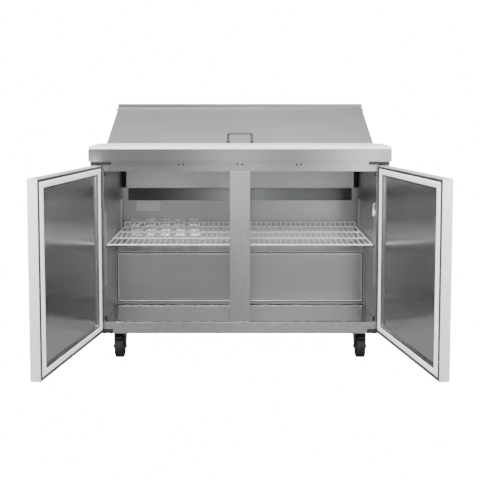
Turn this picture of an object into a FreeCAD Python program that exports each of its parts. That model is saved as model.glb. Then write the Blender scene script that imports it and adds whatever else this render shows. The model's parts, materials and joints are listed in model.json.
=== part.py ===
import FreeCAD, Part
import math
import os
import Sketcher

# Sandwich prep table, millimetres. X runs along the counter, Y from the cook towards the wall, Z up.
# Places are worked out from the worktop's front edge (y = 0) and the floor (z = 0). Every sub-part is then
# moved back by origin_y, which puts the document's origin on the floor, midway between the ends of the
# open doors and the back of the cabinet.

doc = FreeCAD.newDocument("SandwichPrepTable")
sheet = doc.addObject("Spreadsheet::Sheet", "Sizes")
sub_parts = []


class Size:
    """A length or an angle worked out from sheet cells: its FreeCAD expression and its present value."""

    def __init__(self, text, value):
        self.text = text
        self.value = value

    def __add__(self, other):
        return Size(f"({self.text} + {size_of(other).text})", self.value + size_of(other).value)

    def __radd__(self, other):
        return size_of(other) + self

    def __sub__(self, other):
        return Size(f"({self.text} - {size_of(other).text})", self.value - size_of(other).value)

    def __rsub__(self, other):
        return size_of(other) - self

    def __mul__(self, other):
        return Size(f"({self.text} * {size_of(other).text})", self.value * size_of(other).value)

    def __rmul__(self, other):
        return size_of(other) * self

    def __truediv__(self, other):
        return Size(f"({self.text} / {size_of(other).text})", self.value / size_of(other).value)

    def __neg__(self):
        return Size(f"(0 - {self.text})", -self.value)


def size_of(value):
    return value if isinstance(value, Size) else Size(f"{value}", value)


def sine(angle):
    return Size(f"sin({angle.text})", math.sin(math.radians(angle.value)))


def cosine(angle):
    return Size(f"cos({angle.text})", math.cos(math.radians(angle.value)))


def cell(alias, value):
    """A driving dimension: one row of the sheet."""
    cell.row += 1
    sheet.set(f"A{cell.row}", alias.replace("_", " "))
    sheet.set(f"B{cell.row}", str(value))
    sheet.setAlias(f"B{cell.row}", alias)
    return Size(f"Sizes.{alias}", value)


cell.row = 0

# ---- driving dimensions ----
# casters
caster_inset = cell("caster_inset", 103)
caster_front = cell("caster_front", 150)
caster_rear_setback = cell("caster_rear_setback", 130)
wheel_diameter = cell("wheel_diameter", 94)
wheel_width = cell("wheel_width", 38)
caster_trail = cell("caster_trail", 30)
axle_radius = cell("axle_radius", 5)
caster_headroom = cell("caster_headroom", 29.5)
# cabinet
cabinet_width = cell("cabinet_width", 1220)
top_depth = cell("top_depth", 762)
worktop_height = cell("worktop_height", 888.5)
fascia_height = cell("fascia_height", 50.5)
sheet_metal = cell("sheet_metal", 1)
frame_setback = cell("frame_setback", 42)
back_setback = cell("back_setback", 12)
stile_width = cell("stile_width", 53)
rail_drop = cell("rail_drop", 42.3)
sill_height = cell("sill_height", 47.8)
mullion_width = cell("mullion_width", 82.6)
mullion_depth = cell("mullion_depth", 26)
floor_insulation = cell("floor_insulation", 52.5)
wall_insulation = cell("wall_insulation", 40)
cavity_depth = cell("cavity_depth", 544)
step_front = cell("step_front", 336.5)
step_top = cell("step_top", 410.5)
step_border = cell("step_border", 9)
# cutting board and food pans
board_depth = cell("board_depth", 245)
board_thickness = cell("board_thickness", 12.2)
pan_columns = 6
pan_rim_width = cell("pan_rim_width", 176)
pan_rim_depth = cell("pan_rim_depth", 162)
pan_gap = cell("pan_gap", 2)
pan_depth = cell("pan_depth", 98)
pan_lip = cell("pan_lip", 12)
pan_first_row = cell("pan_first_row", 263)
pan_land = cell("pan_land", 7)
support_bar = cell("support_bar", 8)
# lid and hood
lid_front = cell("lid_front", 256)
lid_rear = cell("lid_rear", 595)
lid_front_height = cell("lid_front_height", 11.5)
lid_rise = cell("lid_rise", 154)
lid_half_width = cell("lid_half_width", 578)
lid_thickness = cell("lid_thickness", 28)
lid_floor_gap = cell("lid_floor_gap", 4.5)
lid_pivot_setback = cell("lid_pivot_setback", 15)
lid_pivot_drop = cell("lid_pivot_drop", 9)
hood_front = cell("hood_front", 604)
hood_height = cell("hood_height", 182.5)
hood_half_width = cell("hood_half_width", 581)
pin_clearance = cell("pin_clearance", 0.05)
handle_width = cell("handle_width", 112)
handle_bar = cell("handle_bar", 10)
handle_rise = cell("handle_rise", 59)
# doors
door_open_angle = cell("door_open_angle", 100.58)
door_front_gap = cell("door_front_gap", 0.3)
door_thickness = cell("door_thickness", 37.4)
door_pivot_inset = cell("door_pivot_inset", 25.3)
door_pivot_depth = cell("door_pivot_depth", 16.6)
door_hinge_overhang = cell("door_hinge_overhang", 16.5)
door_centre_gap = cell("door_centre_gap", 3.8)
door_bottom_lap = cell("door_bottom_lap", 9.2)
door_top_gap = cell("door_top_gap", 16.5)
gasket_inset = cell("gasket_inset", 12)
gasket_side_inset = cell("gasket_side_inset", 14)
gasket_width = cell("gasket_width", 22)
gasket_side_width = cell("gasket_side_width", 30)
gasket_taper = cell("gasket_taper", 9.6)
gasket_squeeze = cell("gasket_squeeze", 0.5)
dish_groove = cell("dish_groove", 5)
dish_depth = cell("dish_depth", 8)
pull_length = cell("pull_length", 130)
pull_width = cell("pull_width", 34)
pull_recess = cell("pull_recess", 20)
# hinges
hinge_pin_radius = cell("hinge_pin_radius", 4)
hinge_plate = cell("hinge_plate", 3)
hinge_reach = cell("hinge_reach", 85)
hinge_bite = cell("hinge_bite", 22)
# inside
shelf_height = cell("shelf_height", 493)
shelf_front = cell("shelf_front", 74)
shelf_rear = cell("shelf_rear", 565)
shelf_edge_gap = cell("shelf_edge_gap", 7)
shelf_pitch = cell("shelf_pitch", 23.3)
shelf_wire = cell("shelf_wire", 4)
shelf_rod = cell("shelf_rod", 6)
shelf_fence = cell("shelf_fence", 18)
pilaster_low = cell("pilaster_low", 314)
pilaster_high = cell("pilaster_high", 626)
cover_depth = cell("cover_depth", 53)
cover_half_width = cell("cover_half_width", 535)
cover_low = cell("cover_low", 676)
cover_high = cell("cover_high", 780)
louvre_rows = 4
louvre_columns = 5
louvre_length = cell("louvre_length", 47)
louvre_pitch = cell("louvre_pitch", 69.5)
louvre_row_pitch = cell("louvre_row_pitch", 24)

# ---- places worked out from them ----
body_underside = wheel_diameter + caster_headroom
half_width = cabinet_width / 2
fascia_bottom = worktop_height - fascia_height
back_plane = top_depth - back_setback
inner_half = half_width - stile_width
cavity_floor = body_underside + floor_insulation
rail_bottom = fascia_bottom - rail_drop
sill_top = body_underside + sill_height
cavity_back = frame_setback + cavity_depth
pivot_x = half_width - door_pivot_inset
pivot_y = door_front_gap + door_pivot_depth
door_reach = pivot_x - door_centre_gap / 2
door_bottom = body_underside + door_bottom_lap
door_top = fascia_bottom - door_top_gap
pan_pitch = pan_rim_width + pan_gap
pan_row_pitch = pan_rim_depth + pan_gap
well_half = pan_pitch * pan_columns / 2 - pan_land
well_front = pan_first_row + pan_land
well_rear = pan_first_row + pan_rim_depth * 2 + pan_gap - pan_land
lid_slope = Size(
    f"atan({lid_rise.text} / ({lid_rear.text} - {lid_front.text}))",
    math.degrees(math.atan2(lid_rise.value, lid_rear.value - lid_front.value)),
)
lid_pivot_y = lid_rear - lid_pivot_setback
lid_front_z = worktop_height + lid_front_height
lid_pivot_z = (lid_front_z + (lid_pivot_y - lid_front) * sine(lid_slope) / cosine(lid_slope)
               - lid_pivot_drop / cosine(lid_slope))
caster_x = half_width - caster_inset
caster_rear = top_depth - caster_rear_setback
# the inner corners of the open doors' free ends are the foremost points of the object
rear_face = door_thickness - door_pivot_depth
door_tip = pivot_y - door_reach * sine(door_open_angle) + rear_face * cosine(door_open_angle)
origin_y = (door_tip + top_depth) / 2


# ---- modelling helpers ----
def bind(feature, name, value):
    feature.setExpression(name, size_of(value).text)


def turn(axis, angle):
    """A placement that only turns, by angle degrees about an axis through the origin."""
    return FreeCAD.Placement(FreeCAD.Vector(), FreeCAD.Rotation(FreeCAD.Vector(*axis), angle))


def box(x, y, z):
    """A block between three (low, high) pairs."""
    block = doc.addObject("Part::Box", "block")
    for axis, side, (low, high) in zip("xyz", ("Length", "Width", "Height"), (x, y, z)):
        bind(block, side, high - low)
        bind(block, f"Placement.Base.{axis}", low)
    return block


def rod(axis, centre, radius, length):
    """A cylinder that starts at centre and runs along axis, one of "xyz"."""
    cylinder = doc.addObject("Part::Cylinder", "rod")
    turns = {"x": ((0, 1, 0), 90), "y": ((1, 0, 0), -90), "z": ((0, 0, 1), 0)}
    cylinder.Placement = turn(*turns[axis])
    bind(cylinder, "Radius", radius)
    bind(cylinder, "Height", length)
    for name, place in zip("xyz", centre):
        bind(cylinder, f"Placement.Base.{name}", place)
    return cylinder


def cut(base, *tools):
    result = doc.addObject("Part::Cut", "cut")
    result.Base = base
    result.Tool = tools[0] if len(tools) == 1 else fuse(*tools)
    return result


def fuse(*pieces):
    result = doc.addObject("Part::MultiFuse", "fuse")
    result.Shapes = list(pieces)
    return result


def outline(body, role, points):
    """A closed outline on one of the body's own origin planes, each corner bound to the sheet."""
    plane = next(feature for feature in body.Origin.OriginFeatures if feature.Role == role)
    sketch = body.newObject("Sketcher::SketchObject", "outline")
    sketch.AttachmentSupport = [(plane, "")]
    sketch.MapMode = "FlatFace"
    corners = [FreeCAD.Vector(size_of(u).value, size_of(v).value, 0) for u, v in points]
    count = len(corners)
    sketch.addGeometry([Part.LineSegment(corners[i], corners[(i + 1) % count]) for i in range(count)], False)
    for i, (u, v) in enumerate(points):
        sketch.addConstraint(Sketcher.Constraint("Coincident", i, 2, (i + 1) % count, 1))
        for kind, place in (("DistanceX", size_of(u)), ("DistanceY", size_of(v))):
            index = sketch.addConstraint(Sketcher.Constraint(kind, -1, 1, i, 1, place.value))
            sketch.setExpression(f"Constraints[{index}]", place.text)
    return sketch


def ring(body, role, centre, radius):
    """A circle on one of the body's own origin planes."""
    plane = next(feature for feature in body.Origin.OriginFeatures if feature.Role == role)
    sketch = body.newObject("Sketcher::SketchObject", "ring")
    sketch.AttachmentSupport = [(plane, "")]
    sketch.MapMode = "FlatFace"
    u, v, size = (size_of(value) for value in (*centre, radius))
    circle = Part.Circle(FreeCAD.Vector(u.value, v.value, 0), FreeCAD.Vector(0, 0, 1), size.value)
    sketch.addGeometry(circle, False)
    for kind, place in (("DistanceX", u), ("DistanceY", v)):
        index = sketch.addConstraint(Sketcher.Constraint(kind, -1, 1, 0, 3, place.value))
        sketch.setExpression(f"Constraints[{index}]", place.text)
    index = sketch.addConstraint(Sketcher.Constraint("Radius", 0, size.value))
    sketch.setExpression(f"Constraints[{index}]", size.text)
    return sketch


def pad(body, sketch, length, symmetric=False, backwards=False):
    feature = body.newObject("PartDesign::Pad", "pad")
    feature.Profile = sketch
    feature.SideType = "Symmetric" if symmetric else "One side"
    feature.Reversed = backwards
    bind(feature, "Length", length)
    return feature


def along_x(points, half_length):
    """A folded or solid section, its outline in (y, z), running both ways along X."""
    body = doc.addObject("PartDesign::Body", "section")
    pad(body, outline(body, "YZ_Plane", points), half_length * 2, symmetric=True)
    return body


def along_z(points, low, high):
    """A folded or solid section, its outline in (x, y), standing between two heights."""
    body = doc.addObject("PartDesign::Body", "upright")
    pad(body, outline(body, "XY_Plane", points), high - low)
    bind(body, "Placement.Base.z", low)
    return body


def turned(points, centre):
    """A body turned about the X direction through centre, its half outline in (x, radius)."""
    body = doc.addObject("PartDesign::Body", "turned")
    sketch = outline(body, "XY_Plane", points)
    feature = body.newObject("PartDesign::Revolution", "revolution")
    feature.Profile = sketch
    feature.ReferenceAxis = (sketch, ["H_Axis"])
    feature.Angle = 360
    for name, place in zip("xyz", centre):
        bind(body, f"Placement.Base.{name}", place)
    return body


def repeat(body, feature, direction, length, count):
    """A linear pattern of a feature along one of the body's own axes."""
    axis = next(item for item in body.Origin.OriginFeatures if item.Role == direction)
    pattern = body.newObject("PartDesign::LinearPattern", "pattern")
    pattern.Originals = [feature]
    pattern.Direction = (axis, [""])
    bind(pattern, "Length", length)
    pattern.Occurrences = count
    body.Tip = pattern
    return pattern


def add(label, *solids, hinge=None):
    """Names a sub-part and moves it from the worktop's edge to the origin, or onto its hinge."""
    whole = doc.addObject("Part::Compound", label)
    whole.Links = list(solids)
    whole.Label = label
    if hinge is None:
        bind(whole, "Placement.Base.y", -origin_y)
    else:
        side, angle = hinge
        whole.Placement = turn((0, 0, 1), 1)
        bind(whole, "Placement.Rotation.Angle", angle * side)
        bind(whole, "Placement.Base.x", pivot_x * side)
        bind(whole, "Placement.Base.y", pivot_y - origin_y)
    sub_parts.append(whole)
    return whole


def spread(side, low, high):
    """A span measured outwards from the centre line, on the left (-1) or the right (1)."""
    return (low * side, high * side) if side > 0 else (high * side, low * side)


def screw(axis, centre, head_radius, head_height, shank_length, direction):
    """A pan-head screw on a face: the head stands out along direction, the shank runs into the metal."""
    x, y, z = centre
    places = {"x": (x + head_height * direction, y, z), "y": (x, y + head_height * direction, z)}
    if direction < 0:
        head = rod(axis, places[axis], head_radius, head_height)
        shank = rod(axis, centre, head_radius / 2, shank_length)
    else:
        head = rod(axis, centre, head_radius, head_height)
        start = (x - shank_length, y, z) if axis == "x" else (x, y - shank_length, z)
        shank = rod(axis, start, head_radius / 2, shank_length)
    return fuse(head, shank)


sides = {"left": -1, "right": 1}

# ---- side panels: one folded sheet each, with the door stile in front and a return at the back ----
side_return = 25
for name, side in sides.items():
    skin = along_z(
        [
            (half_width * side, frame_setback),
            (half_width * side, back_plane),
            ((half_width - side_return) * side, back_plane),
            ((half_width - side_return) * side, back_plane - sheet_metal),
            ((half_width - sheet_metal) * side, back_plane - sheet_metal),
            ((half_width - sheet_metal) * side, frame_setback + sheet_metal),
            (inner_half * side, frame_setback + sheet_metal),
            (inner_half * side, frame_setback),
        ],
        body_underside,
        fascia_bottom,
    )
    inside = spread(side, inner_half, half_width - sheet_metal)
    front_fold = (frame_setback, frame_setback + sheet_metal)
    notches = [
        box(inside, front_fold, (body_underside, sill_top)),
        box(inside, front_fold, (rail_bottom, fascia_bottom)),
    ]
    add(f"side_panel_{name}", cut(skin, *notches))

# ---- front frame: top rail with the ceiling sheet behind it, sill, centre mullion ----
well_skin = well_front - sheet_metal
rail_lip = 20
top_rail = along_x(
    [
        (frame_setback, rail_bottom),
        (well_skin, rail_bottom),
        (well_skin, rail_bottom + sheet_metal),
        (frame_setback + sheet_metal, rail_bottom + sheet_metal),
        (frame_setback + sheet_metal, fascia_bottom - sheet_metal),
        (frame_setback + rail_lip, fascia_bottom - sheet_metal),
        (frame_setback + rail_lip, fascia_bottom),
        (frame_setback, fascia_bottom),
    ],
    half_width - sheet_metal,
)
add("top_rail", top_rail)

sill = along_x(
    [
        (frame_setback, body_underside),
        (frame_setback + rail_lip, body_underside),
        (frame_setback + rail_lip, body_underside + sheet_metal),
        (frame_setback + sheet_metal, body_underside + sheet_metal),
        (frame_setback + sheet_metal, sill_top),
        (frame_setback, sill_top),
    ],
    half_width - sheet_metal,
)
add("sill", sill)

mullion_half = mullion_width / 2
mullion_shell = along_z(
    [
        (-mullion_half, frame_setback),
        (mullion_half, frame_setback),
        (mullion_half, frame_setback + mullion_depth),
        (-mullion_half, frame_setback + mullion_depth),
    ],
    cavity_floor,
    rail_bottom,
)
mullion_hollow = box(
    (-mullion_half + sheet_metal, mullion_half - sheet_metal),
    (frame_setback + sheet_metal, frame_setback + mullion_depth - sheet_metal),
    (cavity_floor, rail_bottom),
)
mullion_foot = box(
    (-mullion_half, mullion_half),
    (frame_setback, frame_setback + sheet_metal),
    (sill_top, cavity_floor),
)
add("mullion", fuse(cut(mullion_shell, mullion_hollow), mullion_foot))

# ---- inner liner: walls, floor, louvred back, and the step over the compressor ----
floor_lip = 16
for name, side in sides.items():
    wall = box(
        spread(side, inner_half, inner_half + sheet_metal),
        (frame_setback + sheet_metal, cavity_back + sheet_metal),
        (cavity_floor, rail_bottom),
    )
    below_step = box(
        spread(side, inner_half, inner_half + sheet_metal),
        (step_front + sheet_metal, cavity_back + sheet_metal),
        (cavity_floor, step_top - sheet_metal),
    )
    add(f"liner_{name}", cut(wall, below_step))

liner_floor = along_x(
    [
        (frame_setback + sheet_metal, cavity_floor - floor_lip),
        (frame_setback + sheet_metal * 2, cavity_floor - floor_lip),
        (frame_setback + sheet_metal * 2, cavity_floor - sheet_metal),
        (step_front, cavity_floor - sheet_metal),
        (step_front, cavity_floor),
        (frame_setback + sheet_metal, cavity_floor),
    ],
    inner_half + sheet_metal,
)
add("liner_floor", liner_floor)

step_sheet = along_x(
    [
        (step_front, cavity_floor - sheet_metal),
        (step_front + sheet_metal, cavity_floor - sheet_metal),
        (step_front + sheet_metal, step_top - sheet_metal),
        (cavity_back + sheet_metal, step_top - sheet_metal),
        (cavity_back + sheet_metal, step_top),
        (step_front, step_top),
    ],
    inner_half,
)
step_panel = box(
    (-inner_half + step_border, inner_half - step_border),
    (step_front - 2, step_front),
    (cavity_floor + step_border, step_top - step_border),
)
add("step_cover", fuse(step_sheet, step_panel))

louvre_left = -inner_half + 38
louvre_bottom = 441
louvre_height = 9
louvre_relief = 4
slot_height = 3
liner_back_body = doc.addObject("PartDesign::Body", "liner_back_body")
back_corners = [
    (-inner_half, step_top),
    (inner_half, step_top),
    (inner_half, rail_bottom),
    (-inner_half, rail_bottom),
]
pad(liner_back_body, outline(liner_back_body, "XZ_Plane", back_corners), sheet_metal, backwards=True)
bind(liner_back_body, "Placement.Base.y", cavity_back)
slots = []
hoods = []
for row in range(louvre_rows):
    for column in range(louvre_columns):
        left = louvre_left + louvre_pitch * column
        bottom = louvre_row_pitch * row + louvre_bottom
        slot_x = (left + 1, left + louvre_length - 1)
        slots.append(box(slot_x, (cavity_back - 5, cavity_back + 5), (bottom - slot_height, bottom)))
        hood = doc.addObject("Part::Wedge", "louvre")
        for key, value in (
            ("Xmin", 0), ("Xmax", louvre_length), ("Ymin", 0), ("Ymax", louvre_height),
            ("Zmin", 0), ("Zmax", louvre_relief),
            ("X2min", 2), ("X2max", louvre_length - 2), ("Z2min", 0), ("Z2max", 0.6),
        ):
            bind(hood, key, value)
        hood.Placement = turn((1, 0, 0), 90)
        bind(hood, "Placement.Base.x", left)
        bind(hood, "Placement.Base.y", cavity_back)
        bind(hood, "Placement.Base.z", bottom)
        hoods.append(hood)
add("liner_back", fuse(cut(liner_back_body, *slots), *hoods))

# ---- base pan: the floor of the cabinet, folded up at the back ----
pan_return = 20
add(
    "base_pan",
    along_x(
        [
            (frame_setback + rail_lip, body_underside),
            (back_plane - sheet_metal, body_underside),
            (back_plane - sheet_metal, body_underside + pan_return),
            (back_plane - sheet_metal * 2, body_underside + pan_return),
            (back_plane - sheet_metal * 2, body_underside + sheet_metal),
            (frame_setback + rail_lip, body_underside + sheet_metal),
        ],
        half_width - sheet_metal,
    ),
)

# ---- worktop: one sheet with fascia and a turned-down well for the food pans ----
top_shell = cut(
    box((-half_width, half_width), (0, top_depth), (fascia_bottom, worktop_height)),
    box(
        (-half_width + sheet_metal, half_width - sheet_metal),
        (sheet_metal, top_depth - sheet_metal),
        (fascia_bottom - 1, worktop_height - sheet_metal),
    ),
    box((-well_half, well_half), (well_front, well_rear), (worktop_height - 5, worktop_height + 5)),
)
front_return = box(
    (-half_width + sheet_metal, half_width - sheet_metal),
    (sheet_metal, frame_setback),
    (fascia_bottom, fascia_bottom + sheet_metal),
)
well_walls = cut(
    box(
        (-well_half - sheet_metal, well_half + sheet_metal),
        (well_front - sheet_metal, well_rear + sheet_metal),
        (rail_bottom, worktop_height - sheet_metal),
    ),
    box((-well_half, well_half), (well_front, well_rear), (rail_bottom - 1, worktop_height)),
)
add("worktop", fuse(top_shell, front_return, well_walls))

# ---- cutting board, a removable slab as wide as the worktop ----
board_half = half_width - 1
board = along_x(
    [
        (1, worktop_height),
        (board_depth, worktop_height),
        (board_depth, worktop_height + board_thickness),
        (1, worktop_height + board_thickness),
    ],
    board_half,
)
add("cutting_board", board)

# ---- food pans on their support bars ----
bar_height = 6
support_bars = [
    box(
        (-well_half, well_half),
        (pan_first_row + pan_rim_depth + pan_gap / 2 - support_bar / 2,
         pan_first_row + pan_rim_depth + pan_gap / 2 + support_bar / 2),
        (worktop_height - bar_height, worktop_height),
    )
]
for column in range(1, pan_columns):
    centre = pan_pitch * (column - pan_columns / 2)
    support_bars.append(
        box(
            (centre - support_bar / 2, centre + support_bar / 2),
            (well_front, well_rear),
            (worktop_height - bar_height, worktop_height),
        )
    )
add("pan_support_bars", fuse(*support_bars))

pans = []
pan_rim = 1.2
for row in range(2):
    for column in range(pan_columns):
        left = pan_pitch * (column - pan_columns / 2) + pan_gap / 2
        right = left + pan_rim_width
        front = pan_first_row + pan_row_pitch * row
        rear = front + pan_rim_depth
        rim = box((left, right), (front, rear), (worktop_height, worktop_height + pan_rim))
        tub = box(
            (left + pan_lip, right - pan_lip),
            (front + pan_lip, rear - pan_lip),
            (worktop_height - pan_depth, worktop_height),
        )
        hollow = box(
            (left + pan_lip + sheet_metal, right - pan_lip - sheet_metal),
            (front + pan_lip + sheet_metal, rear - pan_lip - sheet_metal),
            (worktop_height - pan_depth + sheet_metal, worktop_height + 5),
        )
        pans.append(cut(fuse(rim, tub), hollow))
add("food_pans", *pans)

# ---- rear hood with the two lid pivots ----
hood_top = worktop_height + hood_height
hood_shell = cut(
    box((-hood_half_width, hood_half_width), (hood_front, top_depth - 2), (worktop_height, hood_top)),
    box(
        (-hood_half_width + sheet_metal, hood_half_width - sheet_metal),
        (hood_front + sheet_metal, top_depth - 2 - sheet_metal),
        (worktop_height - 1, hood_top - sheet_metal),
    ),
)
ear = 1.4
ear_reach = 12
pivots = []
for side in sides.values():
    span = spread(side, hood_half_width - ear, hood_half_width)
    pivots.append(
        box(span, (lid_pivot_y - ear_reach, hood_front), (lid_pivot_z - ear_reach, lid_pivot_z + ear_reach))
    )
    inner = spread(side, hood_half_width - 20, hood_half_width - ear / 2)
    pivots.append(rod("x", (inner[0], lid_pivot_y, lid_pivot_z), hinge_pin_radius, inner[1] - inner[0]))
add("rear_hood", fuse(hood_shell, *pivots))

# ---- lid: sloped outer skin with end cheeks, foam core, liner, U handle ----
skin_drop = sheet_metal / cosine(lid_slope)
core_drop = lid_thickness / cosine(lid_slope)
lid_low = worktop_height + lid_floor_gap
lid_top_rear = lid_front_z + lid_rise
rise_per_run = lid_rise / (lid_rear - lid_front)
bend_y = lid_front + (lid_low - lid_front_z + core_drop) / rise_per_run


def under_lid(drop, y):
    return lid_front_z + (y - lid_front) * rise_per_run - drop


lid_sheet = along_x(
    [
        (lid_front, lid_low),
        (lid_front + sheet_metal, lid_low),
        (lid_front + sheet_metal, under_lid(skin_drop, lid_front + sheet_metal)),
        (lid_rear - sheet_metal, under_lid(skin_drop, lid_rear - sheet_metal)),
        (lid_rear - sheet_metal, under_lid(core_drop, lid_rear)),
        (lid_rear, under_lid(core_drop, lid_rear)),
        (lid_rear, lid_top_rear),
        (lid_front, lid_front_z),
    ],
    lid_half_width,
)
cheek_profile = [
    (lid_front + sheet_metal, lid_low),
    (lid_rear - sheet_metal, lid_low),
    (lid_rear - sheet_metal, under_lid(skin_drop, lid_rear - sheet_metal)),
    (lid_front + sheet_metal, under_lid(skin_drop, lid_front + sheet_metal)),
]
cheeks = cut(
    along_x(cheek_profile, lid_half_width),
    box(
        (-lid_half_width + sheet_metal, lid_half_width - sheet_metal),
        (lid_front - 5, lid_rear + 5),
        (lid_low - 5, lid_top_rear + 5),
    ),
)
pin_hole = rod(
    "x",
    (-lid_half_width - 1, lid_pivot_y, lid_pivot_z),
    hinge_pin_radius + pin_clearance,
    lid_half_width * 2 + 2,
)
add("lid_skin", cut(fuse(lid_sheet, cheeks), pin_hole))

core_half = lid_half_width - sheet_metal
liner_drop = core_drop - skin_drop
lid_core_body = along_x(
    [
        (lid_front + sheet_metal, lid_low + sheet_metal),
        (bend_y, lid_low + sheet_metal),
        (lid_rear - sheet_metal, under_lid(liner_drop, lid_rear - sheet_metal)),
        (lid_rear - sheet_metal, under_lid(skin_drop, lid_rear - sheet_metal)),
        (lid_front + sheet_metal, under_lid(skin_drop, lid_front + sheet_metal)),
    ],
    core_half,
)
pivot_room = rod(
    "x",
    (-lid_half_width, lid_pivot_y, lid_pivot_z),
    hinge_pin_radius + 2,
    lid_half_width * 2,
)
add("lid_core", cut(lid_core_body, pivot_room))
add(
    "lid_liner",
    along_x(
        [
            (lid_front + sheet_metal, lid_low),
            (bend_y, lid_low),
            (lid_rear - sheet_metal, under_lid(core_drop, lid_rear - sheet_metal)),
            (lid_rear - sheet_metal, under_lid(liner_drop, lid_rear - sheet_metal)),
            (bend_y, lid_low + sheet_metal),
            (lid_front + sheet_metal, lid_low + sheet_metal),
        ],
        core_half,
    ),
)

handle_radius = handle_bar / 2
handle_y = lid_front - handle_radius
handle_low = worktop_height + 6.5
handle_top = worktop_height + handle_rise
leg_x = handle_width / 2 - handle_radius
bar_z = handle_top - handle_radius
legs = [
    rod("z", (leg_x * side, handle_y, handle_low), handle_radius, bar_z - handle_low) for side in (-1, 1)
]
corners = []
for side in (-1, 1):
    ball = doc.addObject("Part::Sphere", "corner")
    bind(ball, "Radius", handle_radius)
    for name, place in zip("xyz", (leg_x * side, handle_y, bar_z)):
        bind(ball, f"Placement.Base.{name}", place)
    corners.append(ball)
grip = rod("x", (-leg_x, handle_y, bar_z), handle_radius, leg_x * 2)
feet = [
    box(
        spread(side, leg_x - handle_radius, leg_x + handle_radius),
        (handle_y, lid_front),
        (handle_low, lid_front_z - 1),
    )
    for side in (-1, 1)
]
add("lid_handle", fuse(*legs, *corners, grip, *feet))

# ---- doors, drawn closed about their own pivot, then swung open ----
edge_fold = sheet_metal * 6
filling_edges = (sheet_metal, sheet_metal, edge_fold)
hinge_edge = -door_hinge_overhang
frame_face = frame_setback - pivot_y
gasket_back = frame_face - gasket_squeeze
door_hinge_chamfer = 5
window_edges = (gasket_inset + 3, gasket_side_inset + 3, gasket_side_inset + 3)
dish_ends = gasket_inset + gasket_width + dish_groove
dish_side = gasket_side_inset + gasket_side_width + dish_groove
dish_edges = (dish_ends, dish_side, dish_side)


def door_piece(inward, insets, depth):
    """A block as large as the door less an inset at its ends, its free side and its hinge side."""
    ends, free_side, hinge_side = insets
    return box(
        spread(inward, hinge_edge + hinge_side, door_reach - free_side),
        depth,
        (door_bottom + ends, door_top - ends),
    )


for name, side in sides.items():
    inward = -side
    pin_holes = [
        rod("z", (0, 0, door_bottom - 1), hinge_pin_radius + pin_clearance, sheet_metal + 2),
        rod("z", (0, 0, door_top - sheet_metal - 1), hinge_pin_radius + pin_clearance, sheet_metal + 2),
    ]
    pull_centre = (door_bottom + door_top) / 2
    pull_span = spread(inward, door_reach - pull_width - 45, door_reach - 45)
    pull_height = (pull_centre - pull_length / 2, pull_centre + pull_length / 2)
    pull_pocket = box(pull_span, (-door_pivot_depth - 1, -door_pivot_depth + pull_recess), pull_height)
    pull_cup = box(
        (pull_span[0] - sheet_metal, pull_span[1] + sheet_metal),
        (-door_pivot_depth + sheet_metal / 2, -door_pivot_depth + pull_recess + sheet_metal),
        (pull_height[0] - sheet_metal, pull_height[1] + sheet_metal),
    )
    hinge_corner = doc.addObject("Part::Box", "corner_cut")
    for key in ("Length", "Width"):
        bind(hinge_corner, key, door_hinge_chamfer * 2)
    bind(hinge_corner, "Height", door_top - door_bottom + 2)
    hinge_corner.Placement = turn((0, 0, 1), 45)
    bind(hinge_corner, "Placement.Base.x", hinge_edge * inward)
    bind(hinge_corner, "Placement.Base.y", rear_face - door_hinge_chamfer)
    bind(hinge_corner, "Placement.Base.z", door_bottom - 1)
    filled = (-door_pivot_depth + sheet_metal, rear_face - sheet_metal)
    shell = cut(
        door_piece(inward, (0, 0, 0), (-door_pivot_depth, rear_face)),
        door_piece(inward, filling_edges, filled),
        door_piece(inward, window_edges, (0, rear_face + 5)),
    )
    outer = cut(fuse(shell, pull_cup), pull_pocket, hinge_corner, *pin_holes)
    add(f"door_skin_{name}", outer, hinge=(side, door_open_angle))

    flange = door_piece(inward, window_edges, (rear_face - sheet_metal, rear_face))
    dish_span = (rear_face - dish_depth - sheet_metal, rear_face)
    dish = door_piece(inward, dish_edges, dish_span)
    dish_hollow_edges = [edge + sheet_metal for edge in dish_edges]
    dish_hollow = door_piece(inward, dish_hollow_edges, (rear_face - dish_depth, rear_face + 5))
    add(f"door_liner_{name}", cut(fuse(flange, dish), dish_hollow), hinge=(side, door_open_angle))

    filling = door_piece(inward, filling_edges, filled)
    dish_room = door_piece(inward, dish_edges, dish_span)
    cup_room = box(
        (pull_span[0] - sheet_metal, pull_span[1] + sheet_metal),
        (-door_pivot_depth, -door_pivot_depth + pull_recess + sheet_metal),
        (pull_height[0] - sheet_metal, pull_height[1] + sheet_metal),
    )
    bushes = [
        rod("z", (0, 0, door_bottom), hinge_pin_radius + 1, hinge_bite * 1.5),
        rod("z", (0, 0, door_top - hinge_bite * 1.5), hinge_pin_radius + 1, hinge_bite * 1.5),
    ]
    add(f"door_core_{name}", cut(filling, dish_room, cup_room, *bushes), hinge=(side, door_open_angle))

    seal = doc.addObject("Part::Wedge", "seal")
    seal_x = spread(inward, hinge_edge + gasket_side_inset, door_reach - gasket_side_inset)
    seal_low = door_bottom + gasket_inset
    seal_high = door_top - gasket_inset
    for key, value in (
        ("Xmin", seal_x[0]), ("Xmax", seal_x[1]), ("Zmin", seal_low), ("Zmax", seal_high),
        ("Ymin", rear_face), ("Ymax", gasket_back),
        ("X2min", seal_x[0] + gasket_taper), ("X2max", seal_x[1] - gasket_taper),
        ("Z2min", seal_low + gasket_taper), ("Z2max", seal_high - gasket_taper),
    ):
        bind(seal, key, value)
    seal_side = gasket_side_inset + gasket_side_width
    seal_edges = (gasket_inset + gasket_width, seal_side, seal_side)
    seal_window = door_piece(inward, seal_edges, (rear_face - 1, gasket_back + 1))
    add(f"door_gasket_{name}", cut(seal, seal_window), hinge=(side, door_open_angle))

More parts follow.
